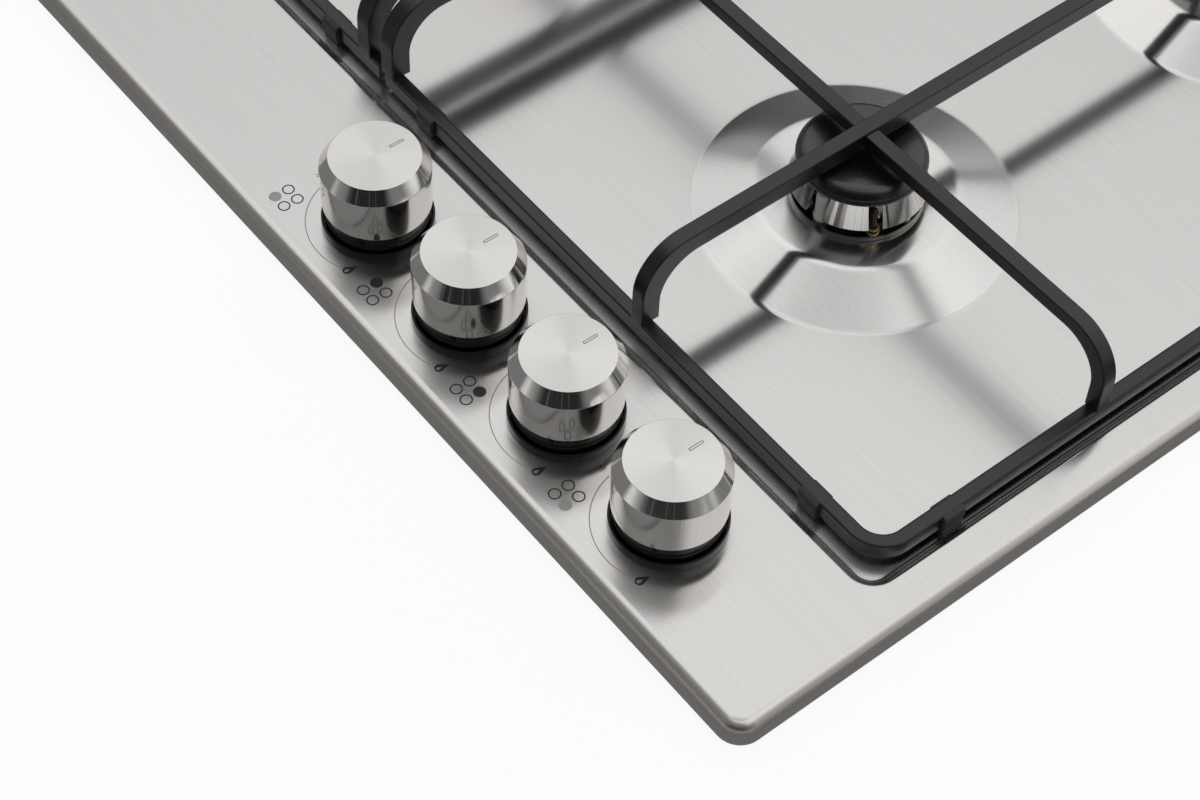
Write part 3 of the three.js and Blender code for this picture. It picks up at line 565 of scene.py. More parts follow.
def finished(name, mesh, finishes, body, replaced=(), slot=None, crease=32, turning=None):
    """Links a finished mesh as a piece that rides on a body."""
    mesh.name = name
    # Clearing the materials sets every face back to the first one, so the faces' numbers are kept aside.
    indices = [polygon.material_index for polygon in mesh.polygons]
    mesh.materials.clear()
    for key in finishes:
        mesh.materials.append(finish(key))
    if len(finishes) > 1:
        mesh.polygons.foreach_set("material_index", indices)
    if turning:
        turning_map(mesh, *turning)
    mesh.shade_smooth()
    mesh.set_sharp_from_angle(angle=math.radians(crease))
    piece = bpy.data.objects.new(name, mesh)
    bpy.context.scene.collection.objects.link(piece)
    weighted = piece.modifiers.new("Weighted normals", "WEIGHTED_NORMAL")
    weighted.keep_sharp = True
    weighted.weight = 80
    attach(piece, body)
    if replaced:
        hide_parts(*replaced)
    return piece


def evaluated(piece):
    """The mesh of an object with its modifiers applied. The object is removed."""
    bpy.context.view_layer.update()
    result = bpy.data.meshes.new_from_object(piece.evaluated_get(bpy.context.evaluated_depsgraph_get()))
    bpy.data.objects.remove(piece)
    return result


def ring_tree():
    """A node tree that sets copies of the object's own mesh evenly round a vertical axis."""
    name = "Pieces round an axis"
    if name in bpy.data.node_groups:
        return bpy.data.node_groups[name]
    tree = bpy.data.node_groups.new(name, "GeometryNodeTree")
    for label, kind in (("Piece", "Geometry"), ("Count", "Int"), ("Radius", "Float"),
                        ("First angle", "Float"), ("Centre", "Vector"), ("Material", "Material")):
        tree.interface.new_socket(label, in_out="INPUT", socket_type=f"NodeSocket{kind}")
    tree.interface.new_socket("Pieces", in_out="OUTPUT", socket_type="NodeSocketGeometry")
    given = add_node(tree, "NodeGroupInput").outputs
    share = add_node(tree, "ShaderNodeMath", {0: 2 * math.pi, 1: given["Count"]}, operation="DIVIDE")
    index = add_node(tree, "GeometryNodeInputIndex")
    turn = add_node(tree, "ShaderNodeMath", {0: index.outputs["Index"], 1: share.outputs["Value"]},
                    operation="MULTIPLY")
    arm = add_node(tree, "ShaderNodeCombineXYZ", {"X": given["Radius"]})
    place = add_node(tree, "ShaderNodeVectorRotate", {
        "Vector": arm.outputs["Vector"], "Angle": turn.outputs["Value"],
    }, rotation_type="Z_AXIS")
    ring = add_node(tree, "GeometryNodePoints", {
        "Count": given["Count"], "Position": place.outputs["Vector"],
    })
    facing = add_node(tree, "ShaderNodeCombineXYZ", {"Z": turn.outputs["Value"]})
    copies = add_node(tree, "GeometryNodeInstanceOnPoints", {
        "Points": ring.outputs["Points"], "Instance": given["Piece"], "Rotation": facing.outputs["Vector"],
    })
    swing = add_node(tree, "ShaderNodeCombineXYZ", {"Z": given["First angle"]})
    moved = add_node(tree, "GeometryNodeTransform", {
        "Geometry": copies.outputs["Instances"], "Translation": given["Centre"],
        "Rotation": swing.outputs["Vector"],
    })
    real = add_node(tree, "GeometryNodeRealizeInstances", {"Geometry": moved.outputs["Geometry"]})
    coat = add_node(tree, "GeometryNodeSetMaterial", {
        "Geometry": real.outputs["Geometry"], "Material": given["Material"],
    })
    add_node(tree, "NodeGroupOutput", {"Pieces": coat.outputs["Geometry"]})
    return tree


def repeated(mesh, count, radius, first_angle, centre, key):
    """A mesh with copies of a small mesh set round an axis."""
    tree = ring_tree()
    carrier = bpy.data.objects.new("carrier", mesh)
    bpy.context.scene.collection.objects.link(carrier)
    modifier = carrier.modifiers.new("Pieces", "NODES")
    modifier.node_group = tree
    values = {"Count": count, "Radius": radius, "First angle": first_angle, "Centre": centre,
              "Material": finish(key)}
    for item in tree.interface.items_tree:
        if item.in_out == "INPUT" and item.name in values:
            modifier[item.identifier] = values[item.name]
    return evaluated(carrier)


def carved(mesh, *cutters):
    """A mesh with other meshes taken out of it."""
    block = bpy.data.objects.new("block", mesh)
    bpy.context.scene.collection.objects.link(block)
    tools = []
    for cutter in cutters:
        tool = bpy.data.objects.new("tool", cutter)
        bpy.context.scene.collection.objects.link(tool)
        tools.append(tool)
        modifier = block.modifiers.new("Cut", "BOOLEAN")
        modifier.operation = "DIFFERENCE"
        modifier.solver = "EXACT"
        modifier.object = tool
    result = evaluated(block)
    for tool in tools:
        bpy.data.objects.remove(tool)
    return result


def box_shell(low, high):
    """A plain cutter block between two corners."""
    shell = Shell()
    outline = [(low[0], low[1]), (high[0], low[1]), (high[0], high[1]), (low[0], high[1])]
    bottom, top = shell.ring(outline, low[2]), shell.ring(outline, high[2])
    shell.bridge(bottom, top)
    shell.face(reversed(bottom))
    shell.face(top)
    return shell


# ---------------------------------------------------------------- plate

STEEL, RIM, SEAT = 0, 1, 2  # Finish numbers of the plate's faces.
BEND_STEPS = 10  # Bands in the bend between deck and rim.
RIM_BANDS = 8  # Bands that have the rim's finish, counted from the worktop up.
SEAT_FOOT_BANDS = 6  # Bands at the foot of a seat that keep the plate's finish.


def seat_height(plate):
    """Height of the flat top that each burner stands on."""
    return plate.deck - plate.well_depth + plate.seat_rise


def seat_profile(cap, plate, drop):
    """A pressed burner seat, from the well inwards: a cone and a flat top. `drop` moves it down and in."""
    well, top = plate.deck - plate.well_depth - drop, seat_height(plate) - drop
    draw = drop * plate.seat_rise / (2 * (plate.seat_foot - plate.seat_top))
    foot, edge = cap + plate.seat_foot - draw, cap + plate.seat_top - draw
    return softened([(foot + 1.5 * MM, well), (foot - 1.2 * MM, well, 1.6 * MM),
                     (edge + 1 * MM, top, 1.8 * MM), (cap - 0.8 * MM, top)], 1 * MM, 7)


def plate_face(shell, plate, drop):
    """One face of the plate. The upper face has no drop, the under face lies one sheet lower and inside."""
    upper = drop == 0

    def join(rings, finish_of=lambda band: 0):
        """Bands between neighbouring rings, facing outwards on both faces of the sheet."""
        for band, (first, second) in enumerate(zip(rings, rings[1:])):
            shell.bridge(*((first, second) if upper else (second, first)), finish_of(band))

    half_width, half_depth = plate.width / 2 - drop, plate.depth / 2 - drop
    bend = plate.edge_radius - drop
    corner = plate.corner_radius - drop
    deck = plate.deck - drop
    turns = [math.pi / 2 * i / BEND_STEPS for i in range(BEND_STEPS + 1)]
    levels = [(0.0, plate.worktop)]
    levels += [(bend * (1 - math.cos(turn)), deck - bend + bend * math.sin(turn)) for turn in turns]
    rim = [shell.ring(rounded_rectangle(inset - half_width, half_width - inset, inset - half_depth,
                                        half_depth - inset, corner - inset, 12), z) for inset, z in levels]
    join(rim, lambda band: RIM if band < RIM_BANDS else STEEL)

    run = plate.well_depth
    well_x = plate.width / 2 - plate.well_side + drop
    front, back = plate.well_front - plate.depth / 2 - drop, plate.depth / 2 - plate.well_side + drop
    wall = softened([(-1.8 * MM, deck), (0.0, deck), (run, deck - run), (run + 1.8 * MM, deck - run)],
                    1.1 * MM, 4)
    well = [shell.ring(rounded_rectangle(inset - well_x, well_x - inset, front + inset, back - inset,
                                         plate.well_radius + drop - inset, 12), z) for inset, z in wall]
    join(well)

    # The spindles of the taps come up through these holes.
    knob_holes = [shell.ring(circle(x, y, 5 * MM, 24), deck) for x, y in knob_places()]
    normal = (0, 0, 1 if upper else -1)
    shell.flat(rim[-1], [well[0], *knob_holes], normal=normal)

    seat_feet, burner_holes = [], []
    for x, y, cap in BURNERS.values():
        seat = [shell.ring(circle(x, y, radius, 144), z) for radius, z in seat_profile(cap, plate, drop)]
        join(seat, lambda band: SEAT if band >= SEAT_FOOT_BANDS else STEEL)
        seat_feet.append(seat[0])
        burner_holes.append(seat[-1])
    shell.flat(well[-1], seat_feet, normal=normal)
    return rim[0], knob_holes + burner_holes


def build_plate(context):
    """The pressed plate: rim, deck, well, and a raised seat under each burner."""
    plate = context.scene.cooktop_plate
    shell = Shell()
    rim, holes = plate_face(shell, plate, 0.0)
    inner_rim, inner_holes = plate_face(shell, plate, plate.sheet)
    shell.bridge(inner_rim, rim, RIM)
    for upper, lower in zip(holes, inner_holes):
        shell.bridge(upper, lower)
    finished("Plate", shell.mesh("Plate"), ("plate", "rim", "seat"), "hob", ["top_plate"], "plate_steel",
             40)


# ---------------------------------------------------------------- deck marks

INK = 0.03 * MM  # Thickness of a printed mark.


def knob_places():
    knob, plate = bpy.context.scene.cooktop_knobs, bpy.context.scene.cooktop_plate
    y = knob.front_setback - plate.depth / 2
    return [(place * knob.pitch, y) for place in (1, 2, 3, 4)]


def film(shell, outline, z, holes=(), finish_index=0):
    """A printed mark: a closed film of ink on the surface at height z."""
    low, high = shell.ring(outline, z), shell.ring(outline, z + INK)
    shell.bridge(low, high, finish_index)
    low_holes = [shell.ring(hole, z) for hole in holes]
    high_holes = [shell.ring(hole, z + INK) for hole in holes]
    for below, above in zip(low_holes, high_holes):
        shell.bridge(above, below, finish_index)
    shell.flat(high, high_holes, finish_index)
    shell.flat(low, low_holes, finish_index, (0, 0, -1))


def off_mark(shell, x, y, deck):
    """A small star of eight rays, left of the knob at (x, y)."""
    turn = math.radians(-171.6)
    centre = Vector((x, y)) + Vector((math.cos(turn), math.sin(turn))) * 30 * MM
    for i in range(8):
        ray = Vector((math.cos(math.pi * i / 4), math.sin(math.pi * i / 4)))
        side = Vector((-ray.y, ray.x)) * 0.16 * MM
        start, end = centre + ray * 0.45 * MM, centre + ray * 1.6 * MM
        film(shell, [tuple(start - side), tuple(end - side), tuple(end + side), tuple(start + side)], deck)


def range_arc(shell, x, y, deck):
    """The line round the knob from off to the flame, growing thinner."""
    radius, steps = 26 * MM, 40
    outer, inner = [], []
    for i in range(steps + 1):
        share = i / steps
        turn = math.radians(-170 + 103 * share)
        half = (0.22 - 0.1 * share) * MM
        outer.append((x + (radius + half) * math.cos(turn), y + (radius + half) * math.sin(turn)))
        inner.append((x + (radius - half) * math.cos(turn), y + (radius - half) * math.sin(turn)))
    film(shell, outer + inner[::-1], deck, finish_index=1)


def flame_mark(shell, x, y, deck):
    """A drop-shaped flame with a light heart, at the low end of the range."""
    place = (Matrix.Translation((x + 13 * MM, y - 22 * MM, 0)) @ Matrix.Rotation(math.radians(-8), 4, "Z")
             @ Matrix.Scale(1.3, 4))
    body = arc(0, -0.5 * MM, 1.25 * MM, 150, 390, 14)
    body += [(0.75 * MM, 1.1 * MM), (0.1 * MM, 2.5 * MM), (-0.55 * MM, 1.2 * MM)]
    heart = arc(0, -0.75 * MM, 0.55 * MM, 150, 390, 10) + [(0.0, 0.5 * MM)]
    body, heart = ([tuple((place @ Vector((*point, 0)))[:2]) for point in line] for line in (body, heart))
    film(shell, body, deck, [heart])


def burner_diagram(shell, x, y, deck, burner_x, burner_y):
    """Four circles in a square, of which the one that stands for the knob's own burner is filled."""
    middle_y, offset = 0.03, 2.83 * MM
    for side_x in (-1, 1):
        for side_y in (-1, 1):
            centre = (x - 28 * MM + side_x * offset, y - 20.5 * MM + side_y * offset)
            full = side_x * burner_x > 0 and side_y * (burner_y - middle_y) > 0
            holes = () if full else [circle(*centre, 1.8 * MM, 40)]
            film(shell, circle(*centre, 2.3 * MM, 40), deck, holes, 1 if full and side_y < 0 else 0)


def print_marks(context):
    """Off mark, range arc, flame and burner diagram beside each knob."""
    deck = context.scene.cooktop_plate.deck
    shell = Shell()
    for (x, y), (burner_x, burner_y, _) in zip(knob_places(), BURNERS.values()):
        off_mark(shell, x, y, deck)
        range_arc(shell, x, y, deck)
        flame_mark(shell, x, y, deck)
        burner_diagram(shell, x, y, deck, burner_x, burner_y)
    finished("Deck_marks", shell.mesh("Deck_marks"), ("mark", "fine_mark"), "hob", slot="black_plastic")


# ---------------------------------------------------------------- pan supports


def arch(low, high, top, height, foot, bent_low=True):
    """Side view of a raised bar, anticlockwise. Its bent ends come down to the frame."""
    outer, inner, steps = 19.3 * MM, 16 * MM, 12
    under = top - height
    line = []
    if bent_low:
        line += [(low, foot), (low + height, foot)]
        line += arc(low + height + inner, under - inner, inner, 180, 90, steps)
    else:
        line += [(low, under)]
    line += arc(high - height - inner, under - inner, inner, 90, 0, steps)
    line += [(high - height, foot), (high, foot)]
    line += arc(high - outer, top - outer, outer, 0, 90, steps)
    line += arc(low + outer, top - outer, outer, 90, 180, steps) if bent_low else [(low, top)]
    return line


def strip_line(inset, support, inner, outer, front, back):
    """Plan of the low frame: an open line from the seam, round the outer side and back to the seam."""
    radius = support.corner_radius - inset
    right = outer - inset
    return ([(inner, front + inset)] + arc(right - radius, front + inset + radius, radius, -90, 0, 14)
            + arc(right - radius, back - inset - radius, radius, 0, 90, 14) + [(inner, back - inset)])


def support_shells(support, plate, rail_inset):
    """The enamelled frame with its bars, and its rubber feet, for the right side."""
    outer = plate.width / 2 - plate.well_side - 5.5 * MM
    front = plate.well_front - plate.depth / 2 + 8 * MM
    back = plate.depth / 2 - plate.well_side - 5.5 * MM
    inner = 2 * MM
    width, top = support.strip_width, support.strip_top
    low = top - support.strip_height
    metal = Shell()
    section = softened([
        (0.5 * width, low), (0.0, low), (0.0, top - 0.4 * MM, 2.2 * MM), (0.6 * MM, top, 2 * MM),
        (width, top, 1.6 * MM), (width, low), (0.5 * width, low),
    ], 0.6 * MM, 4)[:-1]
    rings = [metal.place((x, y, z) for x, y in strip_line(inset, support, inner, outer, front, back))
             for inset, z in section]
    for first, second in zip(rings, rings[1:] + rings[:1]):
        metal.bridge(first, second, closed=False)
    metal.flat([ring[0] for ring in rings], normal=(-1, 0, 0))
    metal.flat([ring[-1] for ring in rings], normal=(-1, 0, 0))

    foot = top - 0.5 * MM
    rail = rail_inset + support.bar_width / 2 + 0.3 * MM
    long_line = arch(front, back, support.long_top, support.long_height, foot)
    cross_line = arch(rail, outer, support.cross_top, support.cross_height, foot, bent_low=False)
    for x, bar in ((rail, support.rail_width), (BURNERS["front_right"][0], support.bar_width)):
        metal.slab(long_line, bar, support.bar_edge, lambda s, z, t, x=x: (x + t, s, z), (1, 0, 0))
    for y in sorted({place[1] for place in BURNERS.values()}):
        metal.slab(cross_line, support.bar_width, support.bar_edge,
                   lambda s, z, t, y=y: (s, y - t, z), (0, -1, 0))

    feet = Shell()
    floor = plate.deck - plate.well_depth + 0.3 * MM
    clip = [(-1.25 * MM, floor), (width + 0.6 * MM, floor), (width + 0.6 * MM, top - 1.5 * MM),
            (width + 0.1 * MM, top - 1.2 * MM), (width - 0.9 * MM, top - 1.2 * MM),
            (width - 0.9 * MM, low + 1 * MM), (0.9 * MM, low + 1 * MM), (0.9 * MM, top - 0.4 * MM),
            (-0.2 * MM, top + 0.1 * MM), (-1.5 * MM, top - 0.7 * MM), (-1.9 * MM, top - 3 * MM)]
    length = 9 * MM
    for x in (inner + 26 * MM + rail_inset / 2, outer - 33 * MM):
        feet.slab(clip, length, 0.35 * MM, lambda s, z, t, x=x: (x - t, front + s, z), (-1, 0, 0))
        feet.slab(clip, length, 0.35 * MM, lambda s, z, t, x=x: (x + t, back - s, z), (1, 0, 0))
    for y in (front + 33 * MM, back - 33 * MM):
        feet.slab(clip, length, 0.35 * MM, lambda s, z, t, y=y: (outer - s, y - t, z), (0, -1, 0))
    return metal, feet


def build_supports(context):
    """The two pan supports with their rubber feet. The left one is mirrored, with its rail further in."""
    support, plate = context.scene.cooktop_supports, context.scene.cooktop_plate
    for side, rail_inset in (("left", 8.3 * MM), ("right", 0.0)):
        metal, feet = support_shells(support, plate, rail_inset)
        if side == "left":
            metal.mirror()
            feet.mirror()
        node = f"pan_support_{side}"
        for piece, shell, key, slot in (("Pan_support", metal, "enamel", "support_enamel"),
                                        ("Support_feet", feet, "rubber", "grommet_rubber")):
            finished(f"{piece}_{side}", shell.mesh(piece), (key,), node, [node], slot, 40)


# ---------------------------------------------------------------- burners


def tube_section(inner, outer, low, high):
    """Corners of the closed section of a short tube, from its inner lower corner."""
    return [(inner, low), (outer, low), (outer, high), (inner, high), (inner, low)]


def lying(shell, x, y, z):
    """A shell turned about +Z, laid along -Y from the point (x, y, z)."""
    laid = Shell()
    laid.add(shell, Matrix.Translation((x, y, z)) @ Matrix.Rotation(math.radians(90), 4, "X"))
    return laid


def build_base(name, x, y, cap, plate):
    """The cast cup with its flange, seat and jet boss."""
    seat = seat_height(plate)
    bottom = (plate.deck - seat) / MM - 28
    cup, wall = cap / MM - 7, 2.5
    shell = Shell()
    shell.turned(x, y, section(seat, [
        (0, bottom), (cup, bottom), (cup, 0), (cup + 7.7, 0), (cup + 7.7, 2), (cup, 2), (cup, 5),
        (cup - wall, 5), (cup - wall, bottom + 3), (0, bottom + 3),
    ], 0.5))
    boss = Shell()
    boss.turned(0, 0, section(0, tube_section(3.8, 6, cup - wall, cup + 12), 0.6), 32)
    shell.add(lying(boss, x, y, plate.deck - 21 * MM))
    finished(f"Burner_base_{name}", shell.mesh("base"), ("base",), "hob", [f"burner_base_{name}"],
             "cast_alloy")


def build_crown(name, x, y, cap, plate, burner):
    """The flame crown: a polished skirt with notches for the two pins, and ports under the cap."""
    seat = seat_height(plate) + 5.3 * MM
    foot, top = seat + 1.2 * MM, seat + 11 * MM
    cup = cap - 7 * MM
    stem = cup - 2.9 * MM
    skirt, shoulder = cap + 1.7 * MM, cap - 2.8 * MM
    shell = Shell()
    start = (stem - 1.8 * MM, seat - 13 * MM)
    shell.turned(x, y, [start] + softened([
        start, (stem, seat - 13 * MM), (stem, seat), (cup, seat), (cup, foot + 1 * MM),
        (skirt - 1 * MM, foot), (skirt, foot), (shoulder, top), (stem - 1.8 * MM, top), start,
    ], 0.25 * MM, 3)[1:])
    notches = Shell()
    for angle, pin, inset in ((burner.electrode_angle, burner.electrode_radius, 3.3 * MM),
                              (burner.sensor_angle, 1.5 * MM, 1.8 * MM)):
        side = pin + 1.1 * MM
        block = box_shell((cap - inset - pin - 0.4 * MM, -side, seat - 1 * MM),
                          (cap + 6 * MM, side, top + 9 * MM))
        notches.add(block, Matrix.Translation((x, y, 0)) @ Matrix.Rotation(angle, 4, "Z"))
    count = max(16, round(burner.port_count * cap / BURNERS["front_left"][2]))
    port = box_shell((-3.4 * MM, -burner.port_width / 2, top - 1.6 * MM),
                     (3.4 * MM, burner.port_width / 2, top + 1 * MM))
    ports = repeated(port.mesh("port"), count, shoulder - 4 * MM, math.radians(3), (x, y, 0), "crown")
    mesh = carved(shell.mesh("crown"), notches.mesh("notches"), ports)
    finished(f"Burner_crown_{name}", mesh, ("crown",), f"crown_{name}", [f"burner_crown_{name}"],
             "crown_aluminium", turning=(x, y))


def build_cap(name, x, y, cap, plate):
    """The enamelled cap, with a soft shoulder and a tucked-in underside."""
    edge = cap / MM
    shell = Shell()
    shell.turned(x, y, section(seat_height(plate) + 16.6 * MM, [
        (0, 0), (edge - 2.8, 0), (edge, 0.7, 0.7), (edge, 2.9, 1.8), (edge - 2.6, 6.6, 3.2),
        (edge - 7, 6.6, 3), (edge * 0.3, 5.85, 8), (0, 5.85),
    ], 0.6, 7), 128)
    finished(f"Burner_cap_{name}", shell.mesh("cap"), ("cap",), f"cap_{name}", [f"burner_cap_{name}"],
             "cap_enamel", 60)


def build_pins(name, x, y, cap, plate, burner):
    """The spark electrode and the flame sensor beside the crown."""
    flange = seat_height(plate) + 2 * MM

    def beside(angle, inset):
        """A point round the burner, a little inside the cap's edge."""
        return x + math.cos(angle) * (cap - inset), y + math.sin(angle) * (cap - inset)

    def pin(piece, key, node, slot, centre, sides, bend, *lines):
        """One turned piece of a pin, made of closed or pointed lines in millimetres above the flange."""
        shell = Shell()
        for line in lines:
            shell.turned(*centre, section(flange, line, bend), sides)
        finished(f"{piece}_{name}", shell.mesh(piece), (key,), "hob", [f"{node}_{name}"], slot)

    electrode = beside(burner.electrode_angle, 3.3 * MM)
    body = burner.electrode_radius / MM
    collar = body + 0.35
    pin("Spark_ceramic", "ceramic", "spark_electrode", "ceramic", electrode, 40, 0.3, [
        (0, -16), (body * 0.7, -16), (body, -8), (body, 1), (collar, 1.2), (collar, 1.9), (body, 2.1),
        (body, 11.5), (body * 0.78, 12.5), (0, 12.5),
    ])
    pin("Spark_tip", "screw", "spark_electrode", "spindle_steel", electrode, 24, 0.2,
        [(0, 12.4), (0.65, 12.4), (0.65, 13.7), (0, 14)])
    sensor = beside(burner.sensor_angle, 1.8 * MM)
    pin("Sensor_rod", "sensor", "flame_sensor", "sensor_brass", sensor, 32, 0.3, [
        (0, -12), (1.5, -12), (1.5, 3.5), (1.2, 4.4), (1.2, 11), (0.5, 12.5), (0, 12.5),
    ])
    pin("Sensor_collars", "collar", "flame_sensor", "sensor_brass", sensor, 32, 0.35,
        tube_section(1.45, 2.6, 0.3, 1.6), tube_section(1.45, 2.3, 2.2, 3.5))


def build_screws(name, x, y, cap, plate, burner):
    """Two pan-head screws that hold the burner base."""
    flange = seat_height(plate) + 2 * MM
    edge = burner.screw_radius / MM
    head = Shell()
    head.turned(0, 0, section(flange, [
        (0, -2), (edge * 0.5, -2), (edge * 0.5, 0.05), (edge, 0.05), (edge, 0.8, 0.5),
        (edge * 0.55, 1.5, 0.6), (0, 1.5),
    ], 0.1), 24)
    slot = box_shell((-3 * MM, -0.3 * MM, flange + 0.9 * MM), (3 * MM, 0.3 * MM, flange + 3 * MM))
    screw = carved(head.mesh("screw"), slot.mesh("slot"))
    mesh = repeated(screw, 2, cap - 2.1 * MM, math.radians(9), (x, y, 0), "screw")
    finished(f"Base_screws_{name}", mesh, ("screw",), "hob", slot="spindle_steel")


def build_burners(context):
    """All pieces of the four burners."""
    plate, burner = context.scene.cooktop_plate, context.scene.cooktop_burners
    for name, (x, y, cap) in BURNERS.items():
        build_base(name, x, y, cap, plate)
        build_crown(name, x, y, cap, plate, burner)
        build_cap(name, x, y, cap, plate)
        build_pins(name, x, y, cap, plate, burner)
        build_screws(name, x, y, cap, plate, burner)


# ---------------------------------------------------------------- knobs


def build_knob(name, x, y, knob, deck):
    """The metal shell, black skirt and pointer of one knob, and the bezel it stands in."""
    wall = 1.1
    top, shoulder, foot = (value / MM for value in (knob.height, knob.shoulder_height, knob.foot_height))
    lip, waist, hem = (value / MM for value in (knob.top_radius, knob.shoulder_radius, knob.foot_radius))
    black, ring = knob.skirt_radius / MM, knob.bezel_radius / MM

    inner = section(deck, [(0, top - wall), (lip - wall / 2, top - wall),
                           (waist - wall, shoulder - wall / 2), (hem - wall, foot)], 0.5, 2)
    outer = section(deck, [(hem - wall, foot), (hem, foot), (waist, shoulder), (lip, top), (0, top)], 0.12)
    # The flat top is drawn in rings, so that its tool marks keep their direction to the middle.
    face = deck + knob.height
    outer[-1:] = [(knob.top_radius * share, face) for share in (0.8, 0.55, 0.3, 0.12, 0)]
    profile = inner + outer[1:]
    # The last six bands, from the upper bend to the middle, have the top's finish.
    finishes = [1] * (len(profile) - 7) + [0] * 6
    shell = Shell()
    shell.turned(x, y, profile, 128, finishes)
    finished(f"Knob_shell_{name}", shell.mesh("shell"), ("knob_top", "knob_side"), f"knob_{name}",
             [f"knob_shell_{name}"], "knob_steel", 25, turning=(x, y))

    def stadium(half, low, high):
        """A strip behind the knob's middle with a round far end, in millimetres."""
        half, start, end = half * MM, y + low * MM, y + high * MM
        return [(x - half, start), (x + half, start)] + arc(x, end - half, half, 0, 180, 12)

    mark = Shell()
    film(mark, stadium(0.55, 6.4, 12.3), face, [stadium(0.34, 6.65, 12.1)])
    finished(f"Knob_mark_{name}", mark.mesh("mark"), ("mark",), f"knob_{name}", slot="black_plastic")

    skirt = Shell()
    bore = black - 1.6  # The skirt's inside.
    gap = wall + 0.4  # From the shell's outside to the skirt.
    lid = top - wall - 0.3
    skirt.turned(x, y, section(deck, [
        (0, top - 6), (bore - 5, top - 6), (bore, shoulder - 6), (bore, 3.5), (black, 3.5), (black, 6.2),
        (black - 0.45, 6.5), (black - 0.45, foot - 0.3), (hem - gap, foot - 0.3),
        (waist - gap, shoulder - gap / 2), (lip - gap, lid), (0, lid),
    ], 0.2), 128)
    hub = Shell()
    hub.turned(x, y, section(deck, tube_section(3.3, 6, 8, top - 5.5), 0.4), 48)
    skirt.add(hub)
    finished(f"Knob_skirt_{name}", skirt.mesh("skirt"), ("plastic",), f"knob_{name}", [f"knob_core_{name}"],
             "black_plastic")

    bezel = Shell()
    height, hollow = knob.bezel_height / MM, black + 0.4
    bezel.turned(x, y, section(deck, [
        (6.5, 0), (ring, 0), (ring, height, 0.45), (hollow, height), (hollow, 0.8), (6.5, 0.8), (6.5, 0),
    ], 0.2, 4), 128)
    finished(f"Knob_bezel_{name}", bezel.mesh("bezel"), ("plastic",), "hob", [f"knob_bezel_{name}"],
             "black_plastic")


def build_knobs(context):
    knob, deck = context.scene.cooktop_knobs, context.scene.cooktop_plate.deck
    for name, (x, y) in zip(BURNERS, knob_places()):
        build_knob(name, x, y, knob, deck)


# ---------------------------------------------------------------- parts under the plate


def coat_hidden_parts(context):
    """Materials for the parts that keep their CAD shape."""
    coats = {"bottom_casing": "zinc", "edge_seal": "foam", "gas_rail": "rail", "inlet_elbow": "brass",
             "spark_generator": "plastic", "lead_grommet": "rubber"}
    for name in BURNERS:
        coats.update({f"tap_body_{name}": "brass", f"tap_plug_{name}": "brass",
                      f"tap_spindle_{name}": "screw", f"feed_pipe_{name}": "pipe"})
    for node, key in coats.items():
        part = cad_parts[node]
        part.data.materials.clear()
        part.data.materials.append(finish(key))


# ---------------------------------------------------------------- stage


